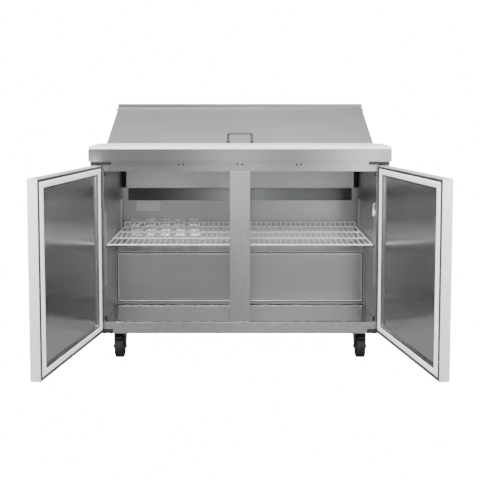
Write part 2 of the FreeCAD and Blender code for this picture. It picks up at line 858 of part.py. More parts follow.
# ---- hinge brackets with their pins ----
hinge_gap = 1.5
arm_radius = 13
pin_length = hinge_bite + hinge_gap + 1
brackets = []
for side in sides.values():
    plate_x = spread(side, half_width - hinge_reach, half_width - 0.5)
    plate_y = (frame_setback - hinge_plate, frame_setback)
    arm_x = spread(side, pivot_x - arm_radius, pivot_x + arm_radius)
    top_low = door_top + hinge_gap
    brackets.append(
        fuse(
            box(plate_x, plate_y, (top_low, fascia_bottom - 0.5)),
            box(arm_x, (pivot_y, frame_setback - hinge_plate), (top_low, top_low + hinge_plate)),
            rod("z", (pivot_x * side, pivot_y, top_low), arm_radius, hinge_plate),
            rod("z", (pivot_x * side, pivot_y, door_top - hinge_bite), hinge_pin_radius, pin_length),
        )
    )
    bottom_high = door_bottom - hinge_gap
    tall_x = spread(side, half_width - hinge_reach, pivot_x - arm_radius)
    brackets.append(
        fuse(
            box(plate_x, plate_y, (body_underside + 0.5, door_bottom - 1)),
            box(tall_x, plate_y, (body_underside + 0.5, door_bottom + gasket_inset - 1.5)),
            box(arm_x, (pivot_y, frame_setback - hinge_plate), (bottom_high - hinge_plate, bottom_high)),
            rod("z", (pivot_x * side, pivot_y, bottom_high - hinge_plate), arm_radius, hinge_plate),
            rod("z", (pivot_x * side, pivot_y, bottom_high - 1), hinge_pin_radius, pin_length),
        )
    )
add("hinge_brackets", *brackets)

# ---- screws: three pairs in the rail, and those of the hinge brackets ----
screw_head = 4
bottom_screw_head = 3.5
screw_length = 8
screw_pair_pitch = 240.5
screw_pair_half = 9.5
bracket_screw_insets = (80, 59)
bottom_screw_rise = 4.7
rail_screw_z = fascia_bottom - 14
screws = []
for group in (-1, 0, 1):
    for side in (-1, 1):
        place = (screw_pair_pitch * group + screw_pair_half * side, frame_setback, rail_screw_z)
        screws.append(screw("y", place, screw_head, 2, screw_length, -1))
for side in sides.values():
    front = frame_setback - hinge_plate
    for inset in bracket_screw_insets:
        place = ((half_width - inset) * side, front, (door_top + fascia_bottom) / 2 + 0.5)
        screws.append(screw("y", place, screw_head, 1.8, screw_length, -1))
        place = ((half_width - inset) * side, front, body_underside + bottom_screw_rise)
        screws.append(screw("y", place, bottom_screw_head, 1.8, screw_length, -1))
add("cabinet_screws", *screws)

# ---- black plugs in the corners of the opening ----
plug_width = 8
plug_height = 18
plug_y = (frame_setback + sheet_metal, frame_setback + 13)
plugs = []
for side in sides.values():
    for low in (cavity_floor, rail_bottom - plug_height):
        plug_x = spread(side, inner_half - plug_width, inner_half)
        plugs.append(box(plug_x, plug_y, (low, low + plug_height)))
add("corner_plugs", *plugs)

# ---- shelf pilasters and clips ----
pilaster_width = 20
pilaster_thickness = 2.5
pilaster_front = 70
pilaster_rear = 505
slot_pitch = 25
clip_height = 6
rod_drop = (shelf_wire + shelf_rod) / 2 - 1.5
clip_top = shelf_height - shelf_wire / 2 - rod_drop - shelf_rod / 2 - 0.3
mullion_back = frame_setback + mullion_depth


def pilaster(x, y, low, high, through):
    """A slotted upright; through is the axis that its slots pierce."""
    strip = box(x, y, (low, high))
    slots = []
    for index in range(12):
        height = low + 12 + slot_pitch * index
        if height.value + 6 > high.value:
            break
        if through == "x":
            middle = (y[0] + y[1]) / 2
            slots.append(box((x[0] - 1, x[1] + 1), (middle - 4, middle + 4), (height, height + 4)))
        else:
            slots.append(box((-4, 4), (y[0] - 1, y[1] + 1), (height, height + 4)))
    return cut(strip, *slots)


pilasters = []
clips = []
for side in sides.values():
    wall_x = spread(side, inner_half - pilaster_thickness, inner_half)
    clip_x = spread(side, inner_half - 22, inner_half - pilaster_thickness)
    for start, low in ((pilaster_front, pilaster_low), (pilaster_rear, step_top)):
        span = (size_of(start), size_of(start) + pilaster_width)
        pilasters.append(pilaster(wall_x, span, low, pilaster_high, "x"))
        clips.append(box(clip_x, span, (clip_top - clip_height, clip_top)))
centre_x = (size_of(-10), size_of(10))
clip_x = (size_of(-18), size_of(18))
front_y = (mullion_back, mullion_back + pilaster_thickness)
rear_y = (cavity_back - pilaster_thickness, cavity_back)
pilasters.append(pilaster(centre_x, front_y, pilaster_low, pilaster_high, "y"))
pilasters.append(pilaster(centre_x, rear_y, step_top, cover_low - 70, "y"))
clips.append(box(clip_x, (front_y[1], front_y[1] + 16), (clip_top - clip_height, clip_top)))
clips.append(box(clip_x, (rear_y[0] - 26, rear_y[0]), (clip_top - clip_height, clip_top)))
add("shelf_pilasters", *pilasters)
add("shelf_clips", *clips)

# ---- wire shelves ----
shelf_inner = size_of(4)
shelf_outer = inner_half - shelf_edge_gap
shelf_depth = shelf_rear - shelf_front
shelf_length = shelf_outer - shelf_inner
wire_span = shelf_length - shelf_rod
post_radius = 1.6
wire_count = int(wire_span.value / shelf_pitch.value) + 1
for name, side in sides.items():
    wire_z = shelf_height - shelf_wire / 2
    rod_radius = shelf_rod / 2
    grid = doc.addObject("PartDesign::Body", f"grid_{name}")
    for place in (rod_radius, shelf_depth / 3, shelf_depth * 2 / 3, shelf_depth - rod_radius):
        pad(grid, ring(grid, "YZ_Plane", (place, -rod_drop), rod_radius), shelf_length)
    for place in (rod_radius, shelf_length - rod_radius):
        pad(grid, ring(grid, "XZ_Plane", (place, -rod_drop), rod_radius), shelf_depth, backwards=True)
    wire = pad(grid, ring(grid, "XZ_Plane", (rod_radius, 0), shelf_wire / 2), shelf_depth, backwards=True)
    repeat(grid, wire, "X_Axis", wire_span, wire_count)
    fence = doc.addObject("PartDesign::Body", f"fence_{name}")
    fence_y = shelf_depth - rod_radius
    fence_rise = shelf_fence - shelf_wire / 2
    post = pad(fence, ring(fence, "XY_Plane", (rod_radius, fence_y), post_radius), fence_rise)
    repeat(fence, post, "X_Axis", wire_span, wire_count)
    pad(fence, ring(fence, "YZ_Plane", (fence_y, fence_rise), shelf_wire / 2), shelf_length)
    for piece, floor in ((grid, wire_z), (fence, wire_z + shelf_wire / 2)):
        bind(piece, "Placement.Base.x", spread(side, shelf_inner, shelf_outer)[0])
        bind(piece, "Placement.Base.y", shelf_front)
        bind(piece, "Placement.Base.z", floor)
    add(f"shelf_{name}", grid, fence)

# ---- evaporator: cover, drip pan, coil halves with the fan motor between them, fan ----
bevel = 8
cover_front = cavity_back - cover_depth
wall = sheet_metal
cover_shell = cut(
    along_x(
        [
            (cavity_back, cover_low),
            (cover_front + bevel, cover_low),
            (cover_front, cover_low + bevel),
            (cover_front, cover_high - bevel * 2),
            (cover_front + bevel * 2, cover_high),
            (cavity_back, cover_high),
        ],
        cover_half_width,
    ),
    along_x(
        [
            (cavity_back + 1, cover_low + wall),
            (cover_front + bevel + wall, cover_low + wall),
            (cover_front + wall, cover_low + bevel + wall),
            (cover_front + wall, cover_high - bevel * 2 - wall),
            (cover_front + bevel * 2 + wall, cover_high - wall),
            (cavity_back + 1, cover_high - wall),
        ],
        cover_half_width - wall,
    ),
    rod("y", (0, cover_front - 5, (cover_low + cover_high) / 2), 44, 12),
)
add("evaporator_cover", cover_shell)

drip_top = cover_low - 7
drip_low = drip_top - 57
add(
    "drip_pan",
    along_x(
        [
            (cavity_back, drip_low),
            (cavity_back, drip_top),
            (cavity_back - 3, drip_top),
            (cavity_back - 10, drip_low + 4),
            (cavity_back - 10, drip_low),
        ],
        cover_half_width - 2,
    ),
)


def finned_coil(low, high, front, rear, base, top, pitch, tube_radius):
    """A plate-fin coil: tubes along X through evenly pitched fins."""
    coil = doc.addObject("PartDesign::Body", "coil")
    rows = 3
    for row in range(rows):
        height = (top - base) * (2 * row + 1) / (2 * rows)
        pad(coil, ring(coil, "YZ_Plane", ((rear - front) / 2, height), tube_radius), high - low)
    corners = [(0, 0), (rear - front, 0), (rear - front, top - base), (0, top - base)]
    fin = pad(coil, outline(coil, "YZ_Plane", corners), 1)
    repeat(coil, fin, "X_Axis", high - low - 1, int((high - low).value / pitch) + 1)
    bind(coil, "Placement.Base.x", low)
    bind(coil, "Placement.Base.y", front)
    bind(coil, "Placement.Base.z", base)
    return coil


def fan(centre, hub_radius, tip_radius, axial, blades):
    """A fan that turns about the Y direction, flat blades on a hub."""
    x, y, z = (size_of(value) for value in centre)
    thickness = 2
    pieces = [rod("y", centre, hub_radius, axial)]
    for index in range(blades):
        angle = 360 * index / blades
        blade = doc.addObject("Part::Box", "blade")
        turn = FreeCAD.Rotation(FreeCAD.Vector(0, 1, 0), angle)
        blade.Placement = FreeCAD.Placement(FreeCAD.Vector(), turn)
        bind(blade, "Length", tip_radius)
        bind(blade, "Width", axial - 2)
        bind(blade, "Height", thickness)
        bind(blade, "Placement.Base.x", x - thickness / 2 * math.sin(math.radians(angle)))
        bind(blade, "Placement.Base.y", y + 1)
        bind(blade, "Placement.Base.z", z - thickness / 2 * math.cos(math.radians(angle)))
        pieces.append(blade)
    return fuse(*pieces)


evap_z = (cover_low + cover_high) / 2
coil_front = cover_front + bevel + 6
coil_rear = cavity_back - 4
evap_coils = [
    finned_coil(low, high, coil_front, coil_rear, cover_low + 10, cover_high - 20, 14, 4)
    for low, high in ((-cover_half_width + 20, size_of(-60)), (size_of(60), cover_half_width - 20))
]
evap_motor = rod("y", (0, cavity_back - 22, evap_z), 18, 22)
add("evaporator_unit", *evap_coils, evap_motor)
add("evaporator_fan", fan((0, cover_front + 8, evap_z), 14, 40, 18, 5))

# ---- machine compartment: compressor, condenser with its shroud and motor, fan ----
pan_top = body_underside + sheet_metal
compressor_x = 260
compressor_y = 560
shell_radius = 72
dome = doc.addObject("Part::Cone", "dome")
for key, value in (("Radius1", shell_radius), ("Radius2", 45), ("Height", 28)):
    bind(dome, key, value)
for key, value in zip("xyz", (compressor_x, compressor_y, pan_top + 180)):
    bind(dome, f"Placement.Base.{key}", value)
compressor_feet = [
    rod("z", (compressor_x + 80 * i, compressor_y + 45 * j, pan_top), 11, 14)
    for i in (-1, 1)
    for j in (-1, 1)
]
compressor = fuse(
    rod("z", (compressor_x, compressor_y, pan_top + 17), shell_radius, 163),
    dome,
    box(
        (size_of(compressor_x - 95), size_of(compressor_x + 95)),
        (size_of(compressor_y - 60), size_of(compressor_y + 60)),
        (pan_top + 14, pan_top + 18),
    ),
    *compressor_feet,
    rod("z", (compressor_x - 30, compressor_y, pan_top + 190), 4, 34),
    rod("z", (compressor_x + 30, compressor_y, pan_top + 190), 3, 34),
)
add("compressor", compressor)

condenser_x = (size_of(-430), size_of(-130))
condenser_z = (pan_top + 6, pan_top + 226)
fan_x = -280
fan_z = pan_top + 116
shroud = cut(
    box(condenser_x, (size_of(636), size_of(640)), condenser_z),
    rod("y", (fan_x, 630, fan_z), 98, 20),
)
foot = box(condenser_x, (size_of(636), size_of(690)), (pan_top, condenser_z[0]))
condenser_coil = finned_coil(*condenser_x, size_of(650), size_of(690), *condenser_z, 9, 5)
condenser_motor = fuse(
    rod("y", (fan_x, 560, fan_z), 34, 38),
    box((size_of(fan_x - 20), size_of(fan_x + 20)), (size_of(562), size_of(592)), (pan_top, fan_z)),
)
add("condenser_unit", fuse(shroud, foot), condenser_coil, condenser_motor)
add("condenser_fan", fan((fan_x, 602, fan_z), 26, 92, 26, 6))

# ---- controls and cord inlet at the rear ----
control_x = (size_of(200), size_of(360))
control_z = (step_top + 40, step_top + 150)
rocker_x = 235
rocker_z = (control_z[0] + control_z[1]) / 2
control_depth = 3
rocker_half = (11, 8)
rocker_gap = 1.5
case = cut(
    box(control_x, (back_plane - 50, back_plane), control_z),
    box(
        (control_x[0] + 1.5, control_x[1] - 1.5),
        (back_plane - 48.5, back_plane),
        (control_z[0] + 1.5, control_z[1] - 1.5),
    ),
)
bezel = box(
    (control_x[0] - 6, control_x[1] + 6),
    (back_plane, back_plane + control_depth),
    (control_z[0] - 6, control_z[1] + 6),
)
rocker_hole = box(
    (size_of(rocker_x - rocker_half[0] - 0.5), size_of(rocker_x + rocker_half[0] + 0.5)),
    (back_plane - 2, back_plane + control_depth + 1),
    (rocker_z - rocker_half[1] - rocker_gap, rocker_z + rocker_half[1] + rocker_gap),
)
add("control_box", cut(fuse(case, bezel), rocker_hole))
add(
    "power_rocker",
    box(
        (size_of(rocker_x - rocker_half[0]), size_of(rocker_x + rocker_half[0])),
        (back_plane - 3, back_plane + control_depth + 3),
        (rocker_z - rocker_half[1], rocker_z + rocker_half[1]),
    ),
)

inlet_x = -400
inlet_z = body_underside + 90
inlet_bore = 4.5
inlet_radius = 12
add(
    "cord_inlet",
    cut(
        fuse(
            rod("y", (inlet_x, back_plane - 12, inlet_z), inlet_radius - 3, 14),
            rod("y", (inlet_x, back_plane, inlet_z), inlet_radius, 4),
            rod("y", (inlet_x, back_plane + 3, inlet_z), inlet_radius - 4, 7),
        ),
        rod("y", (inlet_x, back_plane - 13, inlet_z), inlet_bore, 30),
    ),
)

rear_inner = half_width - side_return
rear_y = (back_plane - sheet_metal, back_plane)
rear_plate = box((-rear_inner, rear_inner), rear_y, (step_top, fascia_bottom))
control_opening = box(control_x, (back_plane - 5, back_plane + 5), control_z)
add("rear_panel", cut(rear_plate, control_opening))

grille_slots = [rod("y", (inlet_x, back_plane - 5, inlet_z), inlet_radius - 3, 10)]
slot_x = (90, 340)
for bank in (-1, 1):
    for row in range(9):
        low = body_underside + 60 + 22 * row
        grille_slots.append(box(spread(bank, *slot_x), (back_plane - 5, back_plane + 5), (low, low + 9)))
grille_plate = box((-rear_inner, rear_inner), rear_y, (body_underside + pan_return, step_top))
add("rear_grille", cut(grille_plate, *grille_slots))

# ---- temperature probe on the right wall ----
probe_y = 66
probe_z = 609
probe_x = inner_half - 7
probe_clip_y = (size_of(probe_y - 3), size_of(probe_y + 3))
add(
    "temperature_probe",
    fuse(
        rod("z", (probe_x, probe_y, probe_z), 3.5, 31),
        box((probe_x, inner_half), probe_clip_y, (probe_z + 10, probe_z + 18)),
        rod("z", (probe_x, probe_y, probe_z + 31), 1.6, 22),
        rod("x", (probe_x, probe_y, probe_z + 53), 1.6, 7),
    ),
)

# ---- casters: plate, swivel fork with its axle, wheel, brake pedal on the front pair ----
caster_places = {
    "front_left": (-caster_x, caster_front, -1),
    "front_right": (caster_x, caster_front, -1),
    "rear_left": (-caster_x, caster_rear, 1),
    "rear_right": (caster_x, caster_rear, 1),
}
wheel_radius = wheel_diameter / 2
fork_half = wheel_width / 2 + 2
cheek = 3
plate_thickness = 5
race_bottom = body_underside - plate_thickness - 10.5
fork_top = race_bottom - 0.3
crown_bottom = fork_top - 5.7
kingpin_radius = 5
bolt_x = 30
bolt_y = 24
bolt_radius = 4.2
plate_bottom = body_underside - plate_thickness
plates = []
for x, y, _ in caster_places.values():
    bolt_holes = [
        rod("z", (x + bolt_x * i, y + bolt_y * j, plate_bottom - 1), bolt_radius, plate_thickness + 2)
        for i in (-1, 1)
        for j in (-1, 1)
    ]
    plate = box((x - 42, x + 42), (y - 34, y + 34), (plate_bottom, body_underside))
    race = rod("z", (x, y, race_bottom), 22, plate_bottom - race_bottom)
    kingpin = rod("z", (x, y, crown_bottom - 5), kingpin_radius, 14)
    kingpin_head = rod("z", (x, y, crown_bottom - 5), kingpin_radius + 3, 4.7)
    plates.append(fuse(cut(plate, *bolt_holes), race, kingpin, kingpin_head))
add("caster_plates", *plates)

pedal_y = 42
pedal_z = crown_bottom - 5
pedal_pin = 3
pedal_barrel = 3.5
for name, (x, y, ahead) in caster_places.items():
    axle_y = y + caster_trail * ahead
    profile = [
        (y - ahead * 24, crown_bottom - 4),
        (axle_y - ahead * 10, wheel_radius - 9),
        (axle_y + ahead * 10, wheel_radius - 9),
        (y + ahead * (pedal_y + 6), pedal_z - 8),
        (y + ahead * (pedal_y + 6), fork_top),
        (y - ahead * 24, fork_top),
    ]
    fork_shell = along_x(profile, fork_half + cheek)
    bind(fork_shell, "Placement.Base.x", x)
    wheel_room = box(
        (x - fork_half, x + fork_half),
        (y - 150, y + 150),
        (wheel_radius - 20, crown_bottom),
    )
    axle_start = x - fork_half - cheek
    axle_length = (fork_half + cheek) * 2
    crown_hole = rod("z", (x, y, crown_bottom - 10), kingpin_radius + pin_clearance, 30)
    pedal_hole = rod(
        "x",
        (axle_start - 1, y + ahead * pedal_y, pedal_z),
        pedal_pin + pin_clearance,
        axle_length + 2,
    )
    fork = cut(
        fork_shell,
        wheel_room,
        crown_hole,
        rod("x", (axle_start - 1, axle_y, wheel_radius), axle_radius, axle_length + 2),
        pedal_hole,
    )
    axle = fuse(
        rod("x", (axle_start, axle_y, wheel_radius), axle_radius, axle_length),
        rod("x", (axle_start - 4, axle_y, wheel_radius), axle_radius + 3.5, 4),
        rod("x", (x + fork_half + cheek, axle_y, wheel_radius), axle_radius + 3.5, 4),
    )
    add(f"caster_fork_{name}", fork, axle)

    bore = axle_radius + pin_clearance
    half_tread = wheel_width / 2
    hub_radius = wheel_radius - 12
    shoulder = 5
    half_hub = half_tread - 1
    hub = turned(
        [(-half_hub, bore), (half_hub, bore), (half_hub, hub_radius), (-half_hub, hub_radius)],
        (x, axle_y, wheel_radius),
    )
    tyre = turned(
        [
            (-half_tread, hub_radius),
            (half_tread, hub_radius),
            (half_tread, wheel_radius - shoulder),
            (half_tread - shoulder, wheel_radius),
            (-half_tread + shoulder, wheel_radius),
            (-half_tread, wheel_radius - shoulder),
        ],
        (x, axle_y, wheel_radius),
    )
    add(f"caster_wheel_{name}", hub, tyre)

    if name.startswith("front"):
        pedal_start = y + ahead * pedal_y
        tread_y = (pedal_start + ahead * 40, pedal_start)
        pedal = fuse(
            rod("x", (axle_start, pedal_start, pedal_z), pedal_pin, axle_length),
            rod("x", (x - fork_half + 0.4, pedal_start, pedal_z), pedal_barrel, fork_half * 2 - 0.8),
            box((x - 14, x + 14), tread_y, (pedal_z - 2, pedal_z + 2)),
        )
        add(f"brake_pedal_{name[6:]}", pedal)

# ---- foam: the block inside the panels, less the cavity, the pan well and the machine rooms ----
lined = inner_half + sheet_metal
foam_block = box(
    (-half_width + sheet_metal, half_width - sheet_metal),
    (frame_setback + sheet_metal, back_plane - sheet_metal * 2),
    (body_underside + sheet_metal, worktop_height - sheet_metal),
)
foam_room = [
    box(
        (-lined, lined),
        (frame_setback, step_front + sheet_metal),
        (cavity_floor - sheet_metal, rail_bottom + sheet_metal),
    ),
    box(
        (-lined, lined),
        (step_front, cavity_back + sheet_metal),
        (step_top - sheet_metal, rail_bottom + sheet_metal),
    ),
    box(
        (-well_half - sheet_metal, well_half + sheet_metal),
        (well_front - sheet_metal, well_rear + sheet_metal),
        (rail_bottom - 1, worktop_height),
    ),
    box(
        (-inner_half, inner_half),
        (step_front + wall_insulation, back_plane),
        (body_underside, step_top - wall_insulation),
    ),
    box(
        (-inner_half, inner_half),
        (cavity_back + wall_insulation, back_plane),
        (body_underside, fascia_bottom),
    ),
    box((-half_width, half_width), (frame_setback, well_front), (rail_bottom, rail_bottom + sheet_metal)),
    box(
        (-half_width, half_width),
        (0, frame_setback + rail_lip),
        (fascia_bottom - sheet_metal, fascia_bottom),
    ),
    box((-lined, lined), (0, frame_setback + sheet_metal * 2), (cavity_floor - floor_lip, cavity_floor)),
    box((-half_width, half_width), (back_plane - sheet_metal * 2, back_plane), (body_underside, step_top)),
]
add("cabinet_foam", cut(foam_block, *foam_room))

# ---- check every object, then write each sub-part ----
doc.recompute()
for feature in doc.Objects:
    faults = {"Invalid", "Error"} & set(feature.State)
    if faults:
        raise RuntimeError(f"{feature.Name} ({feature.TypeId}) is {faults}")
for piece in sub_parts:
    if piece.Shape.isNull() or not piece.Shape.isValid():
        raise RuntimeError(f"{piece.Label} has no valid shape")
    if not piece.Shape.Solids or min(solid.Volume for solid in piece.Shape.Solids) <= 0:
        raise RuntimeError(f"{piece.Label} has an empty solid")

os.makedirs("parts", exist_ok=True)
for piece in sub_parts:
    piece.Shape.exportStep(f"parts/{piece.Label}.step")
print(f"{len(sub_parts)} sub-parts written; the worktop's front edge is at y = {-origin_y.value:.3f} mm")
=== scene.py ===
import json
import math

import bmesh
import bpy
from mathutils import Matrix, Vector


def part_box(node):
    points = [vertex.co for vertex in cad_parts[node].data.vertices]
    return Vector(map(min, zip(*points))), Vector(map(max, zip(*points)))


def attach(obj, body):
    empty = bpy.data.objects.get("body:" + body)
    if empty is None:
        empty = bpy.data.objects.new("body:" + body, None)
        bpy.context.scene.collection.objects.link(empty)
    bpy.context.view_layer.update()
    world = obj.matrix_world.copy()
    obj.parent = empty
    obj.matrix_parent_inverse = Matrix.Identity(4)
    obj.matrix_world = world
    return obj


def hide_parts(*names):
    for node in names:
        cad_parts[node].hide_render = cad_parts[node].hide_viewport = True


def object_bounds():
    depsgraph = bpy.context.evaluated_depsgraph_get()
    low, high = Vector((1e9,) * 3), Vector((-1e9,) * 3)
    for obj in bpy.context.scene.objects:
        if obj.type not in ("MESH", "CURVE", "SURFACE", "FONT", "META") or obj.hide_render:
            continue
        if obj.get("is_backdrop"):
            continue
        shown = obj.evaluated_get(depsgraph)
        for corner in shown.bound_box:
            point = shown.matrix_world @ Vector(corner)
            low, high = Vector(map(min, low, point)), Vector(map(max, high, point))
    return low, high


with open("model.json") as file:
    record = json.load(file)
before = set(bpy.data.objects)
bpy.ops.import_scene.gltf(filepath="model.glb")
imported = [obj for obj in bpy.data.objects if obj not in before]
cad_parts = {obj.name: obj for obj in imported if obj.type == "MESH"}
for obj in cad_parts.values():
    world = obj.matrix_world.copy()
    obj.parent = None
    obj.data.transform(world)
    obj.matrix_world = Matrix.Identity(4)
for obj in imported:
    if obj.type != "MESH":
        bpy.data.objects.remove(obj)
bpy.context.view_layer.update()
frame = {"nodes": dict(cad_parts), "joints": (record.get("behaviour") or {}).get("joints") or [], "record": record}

# ---- Studio ----
# One big soft lamp over the cook's shoulder, one above, one on each side, and tall strip lamps whose
# reflections draw soft vertical bands on the brushed sheet. The room lights the object as grey, and the
# camera sees it as white.
front_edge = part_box("worktop")[0].y
camera_distance = 3.141
eye_height = 1.0656
downward_tilt = 4
camera_data = bpy.data.cameras.new("camera")
camera_data.lens = 58.81
camera_data.sensor_width = 36
camera_data.shift_y = -0.1671
camera = bpy.data.objects.new("camera", camera_data)
camera.location = (0, front_edge - camera_distance, eye_height)
camera.rotation_euler = (math.radians(90 - downward_tilt), 0, 0)
bpy.context.scene.collection.objects.link(camera)
bpy.context.scene.camera = camera


def lamp(name, place, aim, size, power, colour=(1, 1, 1)):
    """A soft rectangular lamp at place that points at aim."""
    data = bpy.data.lights.new(name, "AREA")
    data.shape = "RECTANGLE"
    data.size, data.size_y = size
    data.energy = power
    data.color = colour
    light = bpy.data.objects.new(name, data)
    light.location = place
    light.rotation_euler = (Vector(aim) - Vector(place)).to_track_quat("-Z", "Y").to_euler()
    bpy.context.scene.collection.objects.link(light)


lamp("key_lamp", (-0.6, -3.4, 3.2), (0, 0.1, 0.6), (2.6, 1.4), 300)
lamp("top_lamp", (0, 0.3, 3.6), (0, 0.3, 0.9), (3.0, 2.4), 120)
lamp("strip_lamp_right", (1.25, -3.9, 1.0), (0.5, front_edge, 0.6), (0.6, 2.0), 15)
lamp("strip_lamp_middle", (-0.1, -3.9, 1.0), (0, front_edge, 0.6), (0.35, 2.0), 4)
for side in (-1, 1):
    lamp("side_lamp", (3.2 * side, -2.2, 1.2), (0.6 * side, -0.6, 0.5), (1.6, 2.0), 165)

room_light = 0.42
backdrop_glow = 16.0
sky = bpy.data.worlds.new("studio")
sky.use_nodes = True
room = sky.node_tree.nodes["Background"]
room.inputs["Color"].default_value = (1, 1, 1, 1)
room.inputs["Strength"].default_value = room_light
behind = sky.node_tree.nodes.new("ShaderNodeBackground")
behind.inputs["Color"].default_value = (1, 1, 1, 1)
behind.inputs["Strength"].default_value = backdrop_glow
ray = sky.node_tree.nodes.new("ShaderNodeLightPath")
choice = sky.node_tree.nodes.new("ShaderNodeMixShader")
for source, target in (
    (ray.outputs["Is Camera Ray"], choice.inputs["Fac"]),
    (room.outputs["Background"], choice.inputs[1]),
    (behind.outputs["Background"], choice.inputs[2]),
    (choice.outputs["Shader"], sky.node_tree.nodes["World Output"].inputs["Surface"]),
):
    sky.node_tree.links.new(source, target)
bpy.context.scene.world = sky


# ---- Side panels, base pan, rear panels ----
# Each is one sheet of brushed stainless or galvanised steel, sheared, folded on a brake and riveted to its
# neighbours. Every fold has a small outside radius, and every edge is deburred.
class Value:
    """A number on a material's surface. Sums on it add their Math nodes to the material."""

    def __init__(self, finish, socket):
        self.finish = finish
        self.socket = socket

    def math(self, operation, first, second):
        return self.finish.value("ShaderNodeMath", {"operation": operation}, {0: first, 1: second})

    def __add__(self, other):
        return self.math("ADD", self, other)

    __radd__ = __add__

    def __mul__(self, other):
        return self.math("MULTIPLY", self, other)

    __rmul__ = __mul__

    def __sub__(self, other):
        return self.math("SUBTRACT", self, other)

    def __rsub__(self, other):
        return self.math("SUBTRACT", other, self)

    def __pow__(self, other):
        return self.math("POWER", self, other)


class Finish:
    """A material under construction, on one Principled shader."""

    def __init__(self, name, **sockets):
        self.material = bpy.data.materials.new(name)
        self.material.use_nodes = True
        self.tree = self.material.node_tree
        self.shader = self.tree.nodes["Principled BSDF"]
        for key, setting in sockets.items():
            self.shader.inputs[key.replace("_", " ")].default_value = setting

    def node(self, kind, settings=None, inputs=None):
        node = self.tree.nodes.new(kind)
        for key, setting in (settings or {}).items():
            setattr(node, key, setting)
        for key, given in (inputs or {}).items():
            self.join(given, node.inputs[key])
        return node

    def value(self, kind, settings=None, inputs=None, output=0):
        return Value(self, self.node(kind, settings, inputs).outputs[output])

    def join(self, given, socket):
        if isinstance(given, Value):
            self.tree.links.new(given.socket, socket)
        else:
            socket.default_value = given

    def feed(self, **sockets):
        for key, given in sockets.items():
            self.join(given, self.shader.inputs[key.replace("_", " ")])

    def noise(self, scale, detail=3.0, stretch=(1, 1, 1), shift=0.0):
        """Noise on the object's own metres, drawn out along an axis by a small stretch there."""
        place = self.value("ShaderNodeTexCoord", output="Object")
        spread = self.value(
            "ShaderNodeMapping", {}, {"Vector": place, "Scale": stretch, "Location": (shift, shift, shift)}
        )
        return self.value("ShaderNodeTexNoise", {}, {"Vector": spread, "Scale": scale, "Detail": detail})

    def shades(self, amount, dark, light):
        """A colour that runs from dark to light with amount."""
        ends = {"Factor": amount, 6: (*dark, 1), 7: (*light, 1)}
        return self.value("ShaderNodeMix", {"data_type": "RGBA"}, ends, 2)

    def bump(self, height, depth, strength=1.0):
        """A relief: height is a Value from 0 to 1, depth its size in metres."""
        return self.value(
            "ShaderNodeBump", {}, {"Height": height, "Distance": depth, "Strength": strength}, "Normal"
        )


def brushed(name, grey, roughness, along, grain=1.0, tint=(1.0, 1.0, 0.985), painted_sheen_amount=0.6, metallic=1.0):
    """Brushed stainless sheet. along is the axis that the belt ran in; the band amount sets how far broad bands of
    painted sheen, a painted reflection, lighten and darken its colour.
    """
    steel = Finish(name, Metallic=metallic)
    drawn = {"x": (0.012, 1, 1), "y": (1, 0.012, 1), "z": (1, 1, 0.012)}[along]
    fine = steel.noise(1500, 2.0, drawn)
    coarse = steel.noise(260, 3.0, drawn, 3.7)
    cloud = steel.noise(3.5, 4.0, (1, 1, 1), 9.1)
    # Broad soft bands of painted sheen: a painted reflection, mixed into the colour with the real grain streaks.
    painted_sheen = steel.noise(2.4, 1.0, (1, 0.02, 0.02) if along != "z" else (1, 0.3, 0.3), 5.3)
    streaks = fine * 0.55 + coarse * 0.45
    grain_and_painted_sheen = (streaks - 0.5) * (0.35 * grain) + (painted_sheen - 0.5) * (painted_sheen_amount * 2) + 0.5
    dark = tuple(grey * 0.78 * part for part in tint)
    light = tuple(min(1.0, grey * 1.22) * part for part in tint)
    steel.feed(
        Base_Color=steel.shades(grain_and_painted_sheen, dark, light),
        Roughness=(streaks - 0.5) * (0.10 * grain) + (cloud - 0.5) * 0.05 + roughness,
        Normal=steel.bump(streaks, 0.00003 * grain, 0.35),
    )
    return steel.material


def tidy_mesh(mesh):
    """Shades a mesh smooth except across its sharp edges."""
    sharpest_smooth_edge = 32
    mesh.shade_smooth()
    mesh.set_sharp_from_angle(angle=math.radians(sharpest_smooth_edge))


def place_piece(name, mesh, material, body, stands_for=()):
    """Makes an object of a mesh that is already where it belongs, and hands it to its body."""
    mesh.materials.clear()
    mesh.materials.append(material)
    piece = bpy.data.objects.new(name, mesh)
    bpy.context.scene.collection.objects.link(piece)
    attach(piece, body)
    if stands_for:
        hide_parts(*stands_for)
    return piece


slot_of = {row["node"]: row["material_slot"] for row in frame["record"]["subparts"]}
body_of = {
    node: body for body, nodes in frame["record"]["behaviour"]["bodies"].items() for node in nodes
}


def finished_sheet(node, material, edge=0.0004, segments=2):
    """A copy of a CAD node with its triangles merged and its sharp edges rounded, which stands for it."""
    work = bmesh.new()
    work.from_mesh(frame["nodes"][node].data)
    bmesh.ops.remove_doubles(work, verts=work.verts, dist=1e-5)
    flattest_fold = math.radians(0.6)
    bmesh.ops.dissolve_limit(work, angle_limit=flattest_fold, verts=work.verts, edges=work.edges)
    least_corner = math.radians(28)
    inner = [line for line in work.edges if len(line.link_faces) == 2]
    sharp = [line for line in inner if line.calc_face_angle(0) > least_corner]
    if edge:
        bmesh.ops.bevel(
            work, geom=sharp, offset=edge, segments=segments, profile=0.5, affect="EDGES", clamp_overlap=True
        )
    mesh = bpy.data.meshes.new(f"{node}_sheet")
    work.to_mesh(mesh)
    work.free()
    tidy_mesh(mesh)
    holder = bpy.data.objects.new("holder", mesh)
    bpy.context.scene.collection.objects.link(holder)
    flatten = holder.modifiers.new("flatten", "WEIGHTED_NORMAL")
    flatten.weight = 100
    flatten.keep_sharp = True
    ready = holder.evaluated_get(bpy.context.evaluated_depsgraph_get())
    flat_mesh = bpy.data.meshes.new_from_object(ready)
    bpy.data.objects.remove(holder)
    return place_piece(f"{node}_sheet", flat_mesh, material, body_of[node], (node,))


